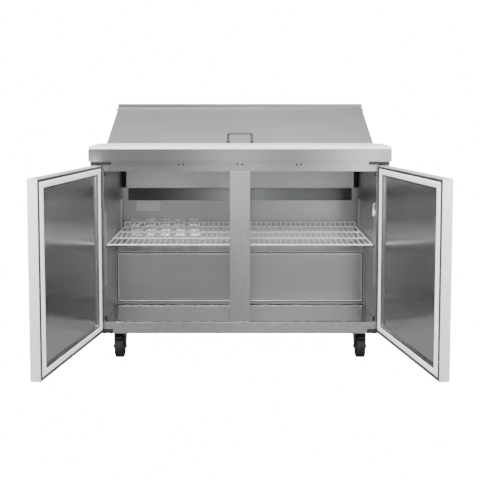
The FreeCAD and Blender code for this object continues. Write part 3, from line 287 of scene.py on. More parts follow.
outer_steel = brushed("outer_steel", 0.42, 0.30, "y")
zinc = Finish("galvanised_sheet", Metallic=0.85)
spangle = zinc.value(
    "ShaderNodeTexVoronoi",
    {"feature": "SMOOTH_F1"},
    {"Vector": zinc.value("ShaderNodeTexCoord", output="Object"), "Scale": 60.0},
)
zinc.feed(
    Base_Color=zinc.shades(spangle + zinc.noise(18, 3.0) * 0.4, (0.36, 0.37, 0.38), (0.62, 0.63, 0.64)),
    Roughness=spangle * 0.25 + 0.36,
    Normal=zinc.bump(spangle, 0.00004, 0.3),
)
for node in ("side_panel_left", "side_panel_right"):
    finished_sheet(node, outer_steel)
for node in ("base_pan", "rear_panel", "rear_grille"):
    finished_sheet(node, zinc.material)


# ---- Floor and backdrop ----
# White paper that lies on the floor and curves up into the wall behind. It isn't part of the object, and it
# is lit evenly, so that it shows as plain white.
sweep = bmesh.new()
sweep_bend = 0.8
sweep_back = 2.6
sweep_front = -6.0
sweep_top = 6.0
half_sweep = 7
bend_steps = 12
sweep_line = [(sweep_front, 0.0)]
for step in range(bend_steps + 1):
    turn = math.radians(90 * step / bend_steps)
    sweep_line.append((sweep_back + sweep_bend * math.sin(turn), sweep_bend * (1 - math.cos(turn))))
sweep_line.append((sweep_back + sweep_bend, sweep_top))
rows = [[sweep.verts.new((x, y, z)) for x in (-half_sweep, half_sweep)] for y, z in sweep_line]
for (left_low, right_low), (left_high, right_high) in zip(rows, rows[1:]):
    sweep.faces.new((left_low, right_low, right_high, left_high))
sweep_mesh = bpy.data.meshes.new("sweep")
sweep.to_mesh(sweep_mesh)
sweep.free()
sweep_mesh.shade_smooth()
paper = Finish("paper", Base_Color=(0.93, 0.93, 0.93, 1), Roughness=0.85, Emission_Strength=backdrop_glow)
paper.shader.inputs["Emission Color"].default_value = (1, 1, 1, 1)
paper.feed(Normal=paper.bump(paper.noise(40, 2.0), 0.0004, 0.1))
sweep_mesh.materials.append(paper.material)
backdrop = bpy.data.objects.new("backdrop", sweep_mesh)
bpy.context.scene.collection.objects.link(backdrop)
backdrop.visible_diffuse = False
backdrop.visible_glossy = False
backdrop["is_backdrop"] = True

# ---- Front frame ----
# Rail, sill and mullion: folded stainless sheet between the side panels, brushed along its length. The
# mullion is brushed upright. Three pairs of pan-head screws hold the rail to the pan well.
frame_steel = brushed("frame_steel_across", 0.42, 0.24, "x")
mullion_steel = brushed("frame_steel_upright", 0.56, 0.26, "z")
finished_sheet("top_rail", frame_steel)
# The sill is the same brushed stainless as the rail, in a paler copy whose lighter grey is a painted reflection of
# the bright floor.
finished_sheet("sill", brushed("sill_painted_reflection_steel", 0.66, 0.27, "x"))
finished_sheet("mullion", mullion_steel, 0.0008)

screw_metal = Finish("screw_metal", Metallic=1.0)
screw_metal.feed(
    Base_Color=screw_metal.shades(screw_metal.noise(400), (0.04, 0.04, 0.045), (0.12, 0.12, 0.125)),
    Roughness=screw_metal.noise(900) * 0.2 + 0.3,
)


def islands(node):
    """The lowest and highest corner of each separate piece of a CAD node."""
    work = bmesh.new()
    work.from_mesh(frame["nodes"][node].data)
    bmesh.ops.remove_doubles(work, verts=work.verts, dist=1e-5)
    left = set(work.verts)
    found = []
    while left:
        group = [left.pop()]
        reach = list(group)
        while reach:
            here = reach.pop()
            near = {edge.other_vert(here) for edge in here.link_edges} & left
            left -= near
            reach += near
            group += near
        corners = [vert.co.copy() for vert in group]
        found.append((Vector(map(min, zip(*corners))), Vector(map(max, zip(*corners)))))
    work.free()
    return sorted(found, key=lambda span: tuple(span[0]))


def lathe(work, outline, centre, axis, segments):
    """Turns an outline of (distance along axis, radius) about axis through centre. Radius 0 closes an end."""
    turn = axis.to_track_quat("Z", "Y").to_matrix()
    rings = []
    for along, radius in outline:
        if radius == 0:
            rings.append([work.verts.new(centre + turn @ Vector((0, 0, along)))])
            continue
        ring = []
        for index in range(segments):
            angle = 2 * math.pi * index / segments
            spot = Vector((radius * math.cos(angle), radius * math.sin(angle), along))
            ring.append(work.verts.new(centre + turn @ spot))
        rings.append(ring)
    for below, above in zip(rings, rings[1:]):
        for index in range(segments):
            after = (index + 1) % segments
            corners = [below[index % len(below)], below[after % len(below)]]
            corners += [above[after % len(above)], above[index % len(above)]]
            unique = list(dict.fromkeys(corners))
            if len(unique) > 2:
                work.faces.new(unique)


def finished_mesh(work, name):
    """The mesh of a bmesh, with its faces turned outward."""
    bmesh.ops.recalc_face_normals(work, faces=work.faces)
    mesh = bpy.data.meshes.new(name)
    work.to_mesh(mesh)
    work.free()
    tidy_mesh(mesh)
    return mesh


head_height = 0.0018
shank_seen = 0.006
screws = bmesh.new()
for low, high in islands("cabinet_screws"):
    head = (high.x - low.x) / 2
    centre = Vector(((low.x + high.x) / 2, low.y, (low.z + high.z) / 2))
    shank = [(head_height + shank_seen, 0), (head_height + shank_seen, head / 2), (head_height, head / 2)]
    dome = [(head_height, head), (head_height * 0.5, head), (head_height * 0.12, head * 0.78)]
    dome.append((0, head * 0.42))
    recess = [(head_height * 0.75, head * 0.30), (head_height * 0.75, 0)]
    lathe(screws, shank + dome + recess, centre, Vector((0, 1, 0)), 20)
screw_mesh = finished_mesh(screws, "screw_heads")
place_piece("screw_heads", screw_mesh, screw_metal.material, "cabinet", ("cabinet_screws",))

# ---- Hinge brackets and corner plugs ----
# Pressed steel brackets on the frame carry the door pins. The plugs are black moulded caps in the corners
# of the opening.
bracket_metal = brushed("bracket_metal", 0.10, 0.36, "x", 1.4)
finished_sheet("hinge_brackets", bracket_metal, 0.0007)
dark_plastic = Finish("dark_plastic")
dark_plastic.feed(
    Base_Color=dark_plastic.shades(dark_plastic.noise(60), (0.006, 0.006, 0.007), (0.012, 0.012, 0.013)),
    Roughness=dark_plastic.noise(300) * 0.15 + 0.38,
    Normal=dark_plastic.bump(dark_plastic.noise(2200, 2.0), 0.00005, 0.3),
)
finished_sheet("corner_plugs", dark_plastic.material, 0.001)

# ---- Worktop, hood and lid ----
# The worktop is one brushed sheet with a turned-down fascia. The hood behind it is a folded box. The lid is a
# foam-filled shell with a welded-on U handle, and a stainless liner closes it underneath.
worktop_steel = brushed("worktop_steel", 0.385, 0.23, "x", 0.9)
lid_steel = brushed("lid_steel", 0.49, 0.32, "x", 0.6, painted_sheen_amount=0.1)
hood_steel = brushed("hood_steel", 0.26, 0.30, "x", 0.8)
finished_sheet("worktop", worktop_steel, 0.0011, 3)
finished_sheet("rear_hood", hood_steel, 0.0008)
finished_sheet("lid_skin", lid_steel, 0.0008)
inner_steel = brushed("inner_steel", 0.40, 0.30, "x", 0.8, (0.97, 0.985, 1.0))
finished_sheet("lid_liner", inner_steel, 0.0005)
foam_yellow = Finish("foam")
foam_yellow.feed(
    Base_Color=foam_yellow.shades(foam_yellow.noise(90), (0.72, 0.62, 0.38), (0.82, 0.74, 0.52)),
    Roughness=foam_yellow.noise(400) * 0.1 + 0.85,
    Normal=foam_yellow.bump(foam_yellow.noise(700, 4.0), 0.0006, 0.6),
)
for node in ("lid_core", "door_core_left", "door_core_right", "cabinet_foam"):
    finished_sheet(node, foam_yellow.material, 0)

bright_steel = brushed("bright_steel", 0.20, 0.26, "x", 0.6)
handle_low, handle_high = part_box("lid_handle")
grip = 0.005
bar_out = handle_low.y + grip
bar_top = handle_high.z - grip
bar_low = handle_low.z + 0.001
half_grip = handle_high.x - grip
handle_bend = 0.011
weld_height = 0.008


def tube(work, path, radius, segments):
    """A round bar along a path of points."""
    rings = []
    for index, spot in enumerate(path):
        before = path[max(index - 1, 0)]
        after = path[min(index + 1, len(path) - 1)]
        heading = (after - before).normalized()
        side_way = heading.cross(Vector((0, 1, 0)))
        if side_way.length < 0.1:
            side_way = heading.cross(Vector((1, 0, 0)))
        side_way.normalize()
        other_way = heading.cross(side_way)
        ring = []
        for step in range(segments):
            angle = 2 * math.pi * step / segments
            outward = side_way * math.cos(angle) + other_way * math.sin(angle)
            ring.append(work.verts.new(spot + outward * radius))
        rings.append(ring)
    work.faces.new(rings[0])
    work.faces.new(rings[-1])
    for ring, following in zip(rings, rings[1:]):
        for step in range(segments):
            after = (step + 1) % segments
            work.faces.new((ring[step], ring[after], following[after], following[step]))


def corner_arc(centre, radius, start, end):
    """Points of an arc in the XZ plane, its angles in degrees."""
    steps = 6
    points = []
    for step in range(steps + 1):
        angle = math.radians(start + (end - start) * step / steps)
        points.append(centre + Vector((math.cos(angle), 0, math.sin(angle))) * radius)
    return points


handle = bmesh.new()
path = [Vector((-half_grip, bar_out, bar_low))]
path += corner_arc(Vector((-half_grip + handle_bend, bar_out, bar_top - handle_bend)), handle_bend, 180, 90)
path += corner_arc(Vector((half_grip - handle_bend, bar_out, bar_top - handle_bend)), handle_bend, 90, 0)
path.append(Vector((half_grip, bar_out, bar_low)))
tube(handle, path, grip, 20)
to_lid = handle_high.y - bar_out
weld = [(0, 0), (0, grip * 1.15), (0.004, grip * 1.35), (to_lid, grip * 1.5), (to_lid, 0)]
for x in (-half_grip, half_grip):
    lathe(handle, weld, Vector((x, bar_out, bar_low + weld_height)), Vector((0, 1, 0)), 20)
handle_mesh = finished_mesh(handle, "handle_bar")
handle_steel = brushed("handle_steel", 0.07, 0.26, "x", 0.6)
place_piece("handle_bar", handle_mesh, handle_steel, "lid", ("lid_handle",))

# ---- Cutting board and food pans ----
# The board is one thick white polyethylene slab with rounded edges and faint knife marks. The pans are drawn
# stainless steel and hang in the well by their rims.
board_white = Finish("board_white", Subsurface_Weight=0.15, Subsurface_Scale=0.01)
scratches = board_white.noise(900, 2.0, (0.05, 1, 1)) + board_white.noise(700, 2.0, (1, 0.06, 1), 2.0)
board_white.feed(
    Base_Color=board_white.shades(scratches * 0.5, (0.83, 0.83, 0.82), (0.90, 0.90, 0.89)),
    Roughness=scratches * 0.12 + 0.38,
    Normal=board_white.bump(scratches, 0.00006, 0.4),
)
finished_sheet("cutting_board", board_white.material, 0.0022, 4)
pan_steel = brushed("pan_steel", 0.80, 0.32, "z", 0.4, metallic=0.8)
finished_sheet("food_pans", pan_steel, 0.0015, 3)
finished_sheet("pan_support_bars", pan_steel, 0.0004)

# ---- Inner liner ----
# Walls, floor and step are bright-rolled stainless. The step's cover has a rolled bead, its pale steel a
# painted highlight, and round it a black strip that is a painted shadow. The back wall has pressed louvres
# over a black sheet, a painted shadow of the air passage behind them, and a plain paper label is stuck above them.
wall_steel = brushed("wall_steel", 0.42, 0.34, "z", 0.7, (0.98, 0.99, 1.0))
floor_steel = brushed("floor_steel", 0.18, 0.20, "x", 0.5, (0.97, 0.99, 1.0))
for node in ("liner_left", "liner_right"):
    finished_sheet(node, wall_steel, 0.0004)
finished_sheet("liner_floor", floor_steel, 0.0006)
finished_sheet("step_cover", brushed("step_steel", 0.42, 0.32, "x", 0.8), 0.0012, 3)
finished_sheet("liner_back", wall_steel, 0.0006)


def mitred_ring(work, low, high, outline, outward=-1, side_stretch=1.0, swing=Matrix()):
    """A closed rectangular ring round the XZ face at low.y, mitred at its corners.

    outline is (distance in from the edge, distance along Y in the direction outward). The upright sides are
    side_stretch times as wide as the level ones, and swing carries the face to where it stands.
    """
    loops = []
    for inset, lift in outline:
        left, right = low.x + inset * side_stretch, high.x - inset * side_stretch
        bottom, top = low.z + inset, high.z - inset
        spots = ((left, bottom), (right, bottom), (right, top), (left, top))
        loops.append([work.verts.new(swing @ Vector((x, low.y + outward * lift, z))) for x, z in spots])
    for loop, following in zip(loops, loops[1:] + loops[:1]):
        for index in range(4):
            after = (index + 1) % 4
            work.faces.new((loop[index], loop[after], following[after], following[index]))


def strip(inset, width, depth):
    """The outline of a flat strip for mitred_ring."""
    return (inset, 0), (inset, depth), (inset + width, depth), (inset + width, 0)


def slab(work, centre, size):
    """A plain block, for thin sheets, fillers and the probe's clip."""
    bmesh.ops.create_cube(work, size=1, matrix=Matrix.Translation(centre) @ Matrix.Diagonal((*size, 1)))


step_low, step_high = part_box("step_cover")
panel_low = Vector((step_low.x, step_low.y + 0.0001, step_low.z + 0.001))
bead_inset = 0.0092
bead_width = 0.0030
bead_depth = 0.0012
bead = bmesh.new()
mitred_ring(bead, panel_low, step_high, strip(bead_inset, bead_width, bead_depth))
bmesh.ops.bevel(bead, geom=bead.edges[:], offset=0.0005, segments=2, profile=0.5, affect="EDGES")
# The bead's pale steel, paler than the step it rings, is a painted highlight: the light line along the raised
# panel's edge.
bead_highlight_steel = brushed("bead_highlight_steel", 0.75, 0.24, "x", 0.4)
place_piece("step_bead", finished_mesh(bead, "step_bead"), bead_highlight_steel, "cabinet")
# A black strip round the raised panel, set just behind it, is a painted shadow in the gap round the panel.
shadow_ring_inset = 0.0040
shadow_ring_width = 0.0050
shadow_ring_depth = 0.0008
shadow_ring_behind_panel = Vector((0, 0.0022, 0))
shadow_ring_work = bmesh.new()
mitred_ring(shadow_ring_work, panel_low + shadow_ring_behind_panel, step_high, strip(shadow_ring_inset, shadow_ring_width, shadow_ring_depth))
# The black finish of every painted shadow: this ring, the sheet behind the louvres, the cover's ends and the
# doors' grooves.
painted_shadow = Finish("painted_shadow", Specular_IOR_Level=0.2)
painted_shadow.feed(
    Base_Color=painted_shadow.shades(painted_shadow.noise(200), (0.02, 0.02, 0.02), (0.05, 0.05, 0.05)),
    Roughness=painted_shadow.noise(300) * 0.1 + 0.7,
)
step_shadow_ring = finished_mesh(shadow_ring_work, "step_shadow_ring")
place_piece("step_shadow_ring", step_shadow_ring, painted_shadow.material, "cabinet")

back_low, back_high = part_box("liner_back")
louvres_from_side = 0.2005
louvres_level = 0.475
# A black sheet just behind the louvres is a painted shadow: the shade inside the air passage, seen through the
# slots.
duct_shadow_size = (0.34, 0.0003, 0.10)
duct = bmesh.new()
duct_centre = (back_low.x + louvres_from_side, back_high.y - 0.0003, louvres_level)
slab(duct, duct_centre, duct_shadow_size)
place_piece("duct_shadow", finished_mesh(duct, "duct"), painted_shadow.material, "cabinet")
label_from_side = 0.118
label_level = 0.586
label_behind_front = 0.0038
label_size = (0.112, 0.0004, 0.050)
label_work = bmesh.new()
label_centre = (back_low.x + label_from_side, back_low.y + label_behind_front, label_level)
slab(label_work, label_centre, label_size)
label_paper = Finish("label_paper")
label_paper.feed(
    Base_Color=label_paper.shades(label_paper.noise(40), (0.62, 0.62, 0.61), (0.70, 0.70, 0.69)),
    Roughness=label_paper.noise(200) * 0.1 + 0.4,
)
label_mesh = finished_mesh(label_work, "blank_label")
place_piece("blank_label", label_mesh, label_paper.material, "cabinet")
pressed_strip = brushed("pilaster_steel", 0.62, 0.30, "z", 0.8)
finished_sheet("shelf_pilasters", pressed_strip, 0.0004)
finished_sheet("shelf_clips", bright_steel, 0.0008)

# ---- Wire shelves ----
# Steel rods welded into a grid and dipped in white epoxy. Each depth wire turns up at the rear and carries
# the guard wire, which keeps food off the louvres.
shelf_white = Finish("shelf_white", Coat_Roughness=0.12)
shelf_white.feed(
    Base_Color=shelf_white.shades(shelf_white.noise(70), (0.80, 0.81, 0.82), (0.90, 0.91, 0.91)),
    Roughness=shelf_white.noise(300) * 0.1 + 0.28,
    Coat_Weight=shelf_white.noise(50) * 0.2 + 0.2,
    Normal=shelf_white.bump(shelf_white.noise(1200, 2.0), 0.00006, 0.3),
)


def repeated(name, unit, count, step, material):
    """A plain mesh of count copies of unit, each one step further along, made with Geometry Nodes."""
    tree = bpy.data.node_groups.new(name, "GeometryNodeTree")
    tree.interface.new_socket("Geometry", in_out="INPUT", socket_type="NodeSocketGeometry")
    number = tree.interface.new_socket("Count", in_out="INPUT", socket_type="NodeSocketInt")
    offset = tree.interface.new_socket("Offset", in_out="INPUT", socket_type="NodeSocketVector")
    tree.interface.new_socket("Geometry", in_out="OUTPUT", socket_type="NodeSocketGeometry")
    given = tree.nodes.new("NodeGroupInput")
    made = tree.nodes.new("NodeGroupOutput")
    line = tree.nodes.new("GeometryNodeMeshLine")
    copies = tree.nodes.new("GeometryNodeInstanceOnPoints")
    real = tree.nodes.new("GeometryNodeRealizeInstances")
    paint = tree.nodes.new("GeometryNodeSetMaterial")
    paint.inputs["Material"].default_value = material
    for source, target in (
        (given.outputs["Count"], line.inputs["Count"]),
        (given.outputs["Offset"], line.inputs["Offset"]),
        (line.outputs["Mesh"], copies.inputs["Points"]),
        (given.outputs["Geometry"], copies.inputs["Instance"]),
        (copies.outputs["Instances"], real.inputs["Geometry"]),
        (real.outputs["Geometry"], paint.inputs["Geometry"]),
        (paint.outputs["Geometry"], made.inputs["Geometry"]),
    ):
        tree.links.new(source, target)
    holder = bpy.data.objects.new(name, unit)
    bpy.context.scene.collection.objects.link(holder)
    modifier = holder.modifiers.new("row", "NODES")
    modifier.node_group = tree
    modifier[number.identifier] = count
    modifier[offset.identifier] = step
    ready = holder.evaluated_get(bpy.context.evaluated_depsgraph_get())
    mesh = bpy.data.meshes.new_from_object(ready)
    holder.modifiers.remove(modifier)
    bpy.data.objects.remove(holder)
    return mesh


wire = 0.002
wire_pitch = 0.0233
rod_radius = 0.003
rod_drop = 0.0035
upturn = 0.007
upturn_steps = 6
guard_bend = 0.006
guard_foot = 0.004
for shelf in ("shelf_left", "shelf_right"):
    low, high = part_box(shelf)
    first = low.x + rod_radius
    last = high.x - rod_radius
    level = low.z + rod_radius + rod_drop
    front = low.y + wire
    back = high.y - rod_radius
    guard = high.z - wire
    bent = [Vector((first, front, level)), Vector((first, back - upturn, level))]
    for step in range(1, upturn_steps + 1):
        angle = math.radians(90 * step / upturn_steps)
        lift = upturn * (1 - math.cos(angle))
        bent.append(Vector((first, back - upturn + upturn * math.sin(angle), level + lift)))
    bent.append(Vector((first, back, guard)))
    unit = bmesh.new()
    tube(unit, bent, wire, 10)
    wire_count = int((last - first) / wire_pitch) + 1
    step_along = ((last - first) / (wire_count - 1), 0, 0)
    one_wire = finished_mesh(unit, "wire")
    wires = repeated(f"{shelf}_wires", one_wire, wire_count, step_along, shelf_white.material)
    rods = bmesh.new()
    rod_level = level - rod_drop
    reach = high.y - low.y
    for place in (rod_radius, reach / 3, reach * 2 / 3, reach - rod_radius):
        row = low.y + place
        tube(rods, [Vector((low.x, row, rod_level)), Vector((high.x, row, rod_level))], rod_radius, 12)
    for x in (first, last):
        tube(rods, [Vector((x, low.y, rod_level)), Vector((x, high.y, rod_level))], rod_radius, 12)
    left_end = low.x + wire
    right_end = high.x - wire
    guard_wire = [Vector((left_end, back, level + guard_foot))]
    guard_wire += corner_arc(Vector((left_end + guard_bend, back, guard - guard_bend)), guard_bend, 180, 90)
    guard_wire += corner_arc(Vector((right_end - guard_bend, back, guard - guard_bend)), guard_bend, 90, 0)
    guard_wire.append(Vector((right_end, back, level + guard_foot)))
    tube(rods, guard_wire, wire, 10)
    grid = bmesh.new()
    grid.from_mesh(wires)
    grid.from_mesh(finished_mesh(rods, "rods"))
    grid_mesh = finished_mesh(grid, f"{shelf}_grid")
    place_piece(f"{shelf}_grid", grid_mesh, shelf_white.material, shelf, (shelf,))

# ---- Evaporator ----
# A moulded cover hangs under the ceiling at the back, with a black filler at each end that is a painted
# shadow of the gap there, and a stainless drip pan below it whose colour carries a painted reflection,
# lighter towards its middle. The coils are finned aluminium blocks, striped with painted shade in the gaps
# between fins, and moulded axial fans draw air through them.
cover_plastic = Finish("cover_plastic")
cover_plastic.feed(
    Base_Color=cover_plastic.shades(cover_plastic.noise(25), (0.76, 0.77, 0.78), (0.82, 0.83, 0.84)),
    Roughness=cover_plastic.noise(400) * 0.12 + 0.32,
    Normal=cover_plastic.bump(cover_plastic.noise(1500, 2.0), 0.00006, 0.3),
)
# The drip pan's colour is a painted reflection: lighter towards its middle and darker towards its ends, with faint
# real grain.
drip_painted_reflection_steel = Finish("drip_painted_reflection_steel", Metallic=1.0)
drip_place = drip_painted_reflection_steel.value("ShaderNodeTexCoord", output="Object")
drip_x = drip_painted_reflection_steel.value("ShaderNodeSeparateXYZ", {}, {"Vector": drip_place})
painted_reflection_falloff = 1 - drip_x.math("ABSOLUTE", drip_x, 0) * 1.9
drip_grain = drip_painted_reflection_steel.noise(700, 2.0, (0.012, 1, 1))
drip_grain_and_painted_reflection = painted_reflection_falloff ** 1.5 + (drip_grain - 0.5) * 0.1
drip_painted_reflection_steel.feed(
    Base_Color=drip_painted_reflection_steel.shades(drip_grain_and_painted_reflection, (0.055, 0.056, 0.058), (0.30, 0.31, 0.32)),
    Roughness=drip_grain * 0.1 + 0.2,
)
finished_sheet("evaporator_cover", cover_plastic.material, 0.001, 3)
finished_sheet("drip_pan", drip_painted_reflection_steel.material, 0.001, 3)
# Light stripes are the fins' edges; the dark stripes between them are painted shade in the gaps between the fins.
fins = Finish("fins", Metallic=1.0)
half_fin_pitch = 0.00125
fin_place = fins.value("ShaderNodeTexCoord", output="Object")
fin_x = fins.value("ShaderNodeSeparateXYZ", {}, {"Vector": fin_place})
fin_edge_and_gap_shade = fin_x.math("PINGPONG", fin_x, half_fin_pitch) * (1 / half_fin_pitch)
fins.feed(
    Base_Color=fins.shades(fin_edge_and_gap_shade, (0.20, 0.21, 0.22), (0.72, 0.73, 0.74)),
    Roughness=fin_edge_and_gap_shade * 0.2 + 0.3,
    Normal=fins.bump(fin_edge_and_gap_shade, 0.0008, 0.8),
)
finished_sheet("evaporator_unit", fins.material, 0.0003)
finished_sheet("condenser_unit", fins.material, 0.0003)
for node in ("evaporator_fan", "condenser_fan"):
    finished_sheet(node, dark_plastic.material, 0.0004)

# Black fillers at the cover's ends are painted shadow in the gaps between the cover and the side walls.
cover_low, cover_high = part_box("evaporator_cover")
end_depth = 0.030
end_clearance = 0.002
ends = bmesh.new()
for inside, outside in ((cover_low.x, back_low.x), (cover_high.x, back_high.x)):
    middle = Vector(((inside + outside) / 2, cover_low.y + end_depth, (cover_low.z + cover_high.z) / 2))
    slab(ends, middle, (abs(outside - inside) - end_clearance, end_depth, cover_high.z - cover_low.z))
end_shadows_mesh = finished_mesh(ends, "cover_end_shadows")
place_piece("cover_end_shadows", end_shadows_mesh, painted_shadow.material, "cabinet")

# ---- Temperature probe ----
# A white plastic capsule clipped to the wall and held by two moulded bands. Its lead leaves through the top
# and curves into the wall.
probe_white = Finish("probe_white")
probe_white.feed(
    Base_Color=probe_white.shades(probe_white.noise(60), (0.72, 0.73, 0.74), (0.82, 0.82, 0.83)),
    Roughness=probe_white.noise(300) * 0.1 + 0.35,
)
low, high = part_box("temperature_probe")
probe_radius = 0.0035
probe_length = 0.033
lead_radius = 0.0016
lead_bend = 0.007
bend_level = high.z - lead_bend - lead_radius
probe_foot = Vector((low.x + probe_radius, (low.y + high.y) / 2, low.z))
upright = Vector((0, 0, 1))
probe = bmesh.new()
capsule = [(0, 0), (0, 0.0022), (0.0012, probe_radius), (0.0285, probe_radius)]
capsule += [(0.031, 0.0026), (probe_length, 0.0018), (probe_length, 0)]
lathe(probe, capsule, probe_foot, upright, 20)
lead = [probe_foot + upright * 0.032, Vector((probe_foot.x, probe_foot.y, bend_level))]
bend = Vector((high.x - 0.001, probe_foot.y, bend_level))
for step in range(1, 7):
    angle = math.radians(180 - 90 * step / 6)
    reach_in = bend.x - probe_foot.x
    lead.append(bend + Vector((math.cos(angle) * reach_in, 0, math.sin(angle) * lead_bend)))
tube(probe, lead, lead_radius, 10)
band = [(0, 0.0036), (0, 0.0046), (0.0022, 0.0046), (0.0022, 0.0036), (0, 0.0036)]
for lift in (0.010, 0.018):
    lathe(probe, band, probe_foot + upright * lift, upright, 20)
clip_from_foot = Vector((0.0052, 0, 0.0151))
clip_size = (0.0036, 0.007, 0.012)
slab(probe, probe_foot + clip_from_foot, clip_size)
probe_mesh = finished_mesh(probe, "probe")
place_piece("probe", probe_mesh, probe_white.material, "cabinet", ("temperature_probe",))

# ---- Doors ----
# Each door is a folded stainless pan, brushed on its front, filled with foam and closed by a dished inner
# panel. Its folds are a paler, less metallic copy of the steel: a painted highlight. The magnetic gasket is a pale
# vinyl extrusion, mitred and welded at the corners, between a dark flange outside it and a dark groove inside
# it; both are painted shade.
# The folds' steel is a paler, less metallic copy of the front's: a painted highlight along the door's edges.
fold_highlight_steel = brushed("door_fold_painted_highlight", 0.84, 0.42, "z", 0.7, (1.0, 0.99, 0.97), 0.1, 0.55)
front_steel = brushed("door_front_steel", 0.42, 0.32, "y")
panel_steel = brushed("panel_steel", 0.56, 0.18, "z", 0.5, (1.0, 1.0, 1.0), 0.2)
vinyl = Finish("vinyl")
vinyl.feed(
    Base_Color=vinyl.shades(vinyl.noise(30), (0.85, 0.87, 0.90), (0.90, 0.92, 0.95)),
    Roughness=vinyl.noise(300) * 0.12 + 0.42,
    Normal=vinyl.bump(vinyl.noise(1300, 2.0), 0.00006, 0.3),
)
# The dark flange ring outside the gasket is painted shade, a darkened copy of the door's stainless beside the
# gasket.
flange_painted_shade = brushed("flange_painted_shade", 0.16, 0.35, "z", 0.6)
gasket_width = 0.022
gasket_side_width = 0.030
groove_width = 0.0046
# The black groove ring inside the gasket is painted shade in the groove.
groove_outline = strip(gasket_width - 0.0002, groove_width + 0.0002, 0.0007)
flange_outline = strip(-0.0085, 0.0089, 0.0006)


def gasket_outline(deep):
    """The gasket's section, a soft lip and a flat magnet pocket, deep from the door to its crest."""
    lip = [(0, 0), (0.0006, deep * 0.2), (0.0045, deep * 0.82), (0.0080, deep), (0.0093, deep)]
    crease = [(0.0101, deep * 0.70), (0.0115, deep * 0.70)]
    pocket = [(0.0123, deep), (0.0180, deep), (0.0194, deep * 0.86), (0.0200, deep * 0.5)]
    heel = [(0.0208, deep * 0.22), (gasket_width, deep * 0.22), (gasket_width, 0)]
    return lip + crease + pocket + heel


for side in ("left", "right"):
    seal = f"door_gasket_{side}"
    liner = f"door_liner_{side}"
    finished_sheet(liner, panel_steel, 0.0014, 3)
    hinge = next(joint for joint in frame["joints"] if joint["name"] == f"door_{side}_hinge")
    pivot = Matrix.Translation(Vector(hinge["pos_m"]))
    swing = Matrix.Rotation(math.radians(hinge["range_deg"][0]), 4, Vector(hinge["axis"]))
    closing = pivot @ swing @ pivot.inverted()
    skin = finished_sheet(f"door_skin_{side}", fold_highlight_steel, 0.0012, 3)
    skin.data.materials.append(front_steel)
    for polygon in skin.data.polygons:
        if (closing.to_3x3() @ polygon.normal).y < -0.9:
            polygon.material_index = 1
    corners = [closing @ vert.co for vert in frame["nodes"][seal].data.vertices]
    low = Vector(map(min, zip(*corners)))
    high = Vector(map(max, zip(*corners)))
    for name, outline, material, slot, stands_for in (
        (f"door_flange_{side}", flange_outline, flange_painted_shade, slot_of[liner], ()),
        (f"{seal}_groove", groove_outline, painted_shadow.material, slot_of[seal], ()),
        (f"{seal}_strip", gasket_outline(high.y - low.y), vinyl.material, slot_of[seal], (seal,)),
    ):
        ring = bmesh.new()
        mitred_ring(ring, low, high, outline, 1, gasket_side_width / gasket_width, closing.inverted())
        place_piece(name, finished_mesh(ring, name), material, f"door_{side}", stands_for)

# ---- Casters ----
# Pressed steel plates and forks, zinc plated and dulled. Each wheel is a black rubber tyre moulded onto a
# plastic hub, on a bolt with hexagon ends. The front pair has a foot brake.
plated = Finish("plated_steel", Metallic=1.0)
plated.feed(
    Base_Color=plated.shades(plated.noise(90, 4.0), (0.035, 0.035, 0.04), (0.12, 0.12, 0.125)),
    Roughness=plated.noise(200, 4.0) * 0.3 + 0.28,
    Normal=plated.bump(plated.noise(900), 0.00008, 0.3),
)
rubber = Finish("rubber", Specular_IOR_Level=0.25)
rubber.feed(
    Base_Color=rubber.shades(rubber.noise(120, 4.0), (0.003, 0.003, 0.0035), (0.008, 0.008, 0.009)),
    Roughness=rubber.noise(200, 4.0) * 0.2 + 0.55,
    Normal=rubber.bump(rubber.noise(1600), 0.0001, 0.4),
)
hub_plastic = Finish("hub_plastic")
hub_plastic.feed(
    Base_Color=hub_plastic.shades(hub_plastic.noise(80), (0.006, 0.006, 0.007), (0.014, 0.014, 0.015)),
    Roughness=hub_plastic.noise(300) * 0.15 + 0.38,
)
tyre_thickness = 0.012
tread_round = 0.006
round_steps = 6
hub_bore = 0.0046
hub_boss = 0.012
finished_sheet("caster_plates", plated.material, 0.0008)
for side in ("left", "right"):
    finished_sheet(f"brake_pedal_{side}", plated.material, 0.0008)
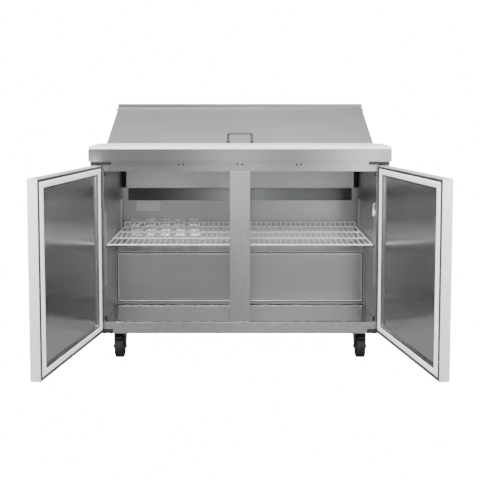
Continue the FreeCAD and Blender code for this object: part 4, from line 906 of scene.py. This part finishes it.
for place in ("front_left", "front_right", "rear_left", "rear_right"):
    finished_sheet(f"caster_fork_{place}", plated.material, 0.0009)
    wheel = f"caster_wheel_{place}"
    low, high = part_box(wheel)
    centre = (low + high) / 2
    axle = Vector((1, 0, 0))
    radius = (high.z - low.z) / 2
    half = (high.x - low.x) / 2
    rim = radius - tyre_thickness
    shoulder = radius - tread_round
    tread = [(-half + 0.001, rim - 0.001), (-half, rim + 0.002), (-half, shoulder)]
    for step in range(1, round_steps):
        angle = math.radians(90 * step / round_steps)
        tread.append((-half + tread_round * (1 - math.cos(angle)), shoulder + tread_round * math.sin(angle)))
    tread.append((-half + tread_round, radius))
    tread += [(-along, out) for along, out in reversed(tread)]
    tread.append(tread[0])
    tyre = bmesh.new()
    lathe(tyre, tread, centre, axle, 72)
    tyre_mesh = finished_mesh(tyre, f"tyre_{place}")
    place_piece(f"tyre_{place}", tyre_mesh, rubber.material, f"wheel_{place}", (wheel,))
    face = half - 0.001
    web = half * 0.45
    hub = [(-face, hub_bore), (-face, hub_boss), (-face + 0.002, hub_boss + 0.002), (-web, hub_boss + 0.003)]
    hub += [(-web, rim - 0.006), (-face + 0.001, rim - 0.003), (-face + 0.001, rim - 0.0005)]
    hub += [(-along, out) for along, out in reversed(hub)]
    hub.append(hub[0])
    hub_work = bmesh.new()
    lathe(hub_work, hub, centre, axle, 64)
    hub_mesh = finished_mesh(hub_work, f"hub_{place}")
    place_piece(f"hub_{place}", hub_mesh, hub_plastic.material, f"wheel_{place}")

# ---- Controls and cord inlet ----
# A moulded control housing is let into the back panel and carries a rocker switch. The cord's entry is a
# moulded bush pushed into the grille.
finished_sheet("control_box", dark_plastic.material, 0.0012, 3)
finished_sheet("power_rocker", dark_plastic.material, 0.0015, 3)
finished_sheet("cord_inlet", dark_plastic.material, 0.0008)

# ---- Compressor ----
# A welded hermetic shell in black enamel. It stands on a base with rubber feet, which sits in the base pan
# behind the step.
enamel = Finish("black_enamel", Coat_Roughness=0.1)
enamel.feed(
    Base_Color=enamel.shades(enamel.noise(30), (0.010, 0.010, 0.011), (0.022, 0.022, 0.023)),
    Roughness=enamel.noise(200) * 0.15 + 0.28,
    Coat_Weight=enamel.noise(20) * 0.3 + 0.3,
    Normal=enamel.bump(enamel.noise(500), 0.0001, 0.3),
)
finished_sheet("compressor", enamel.material, 0.002, 3)

low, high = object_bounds()
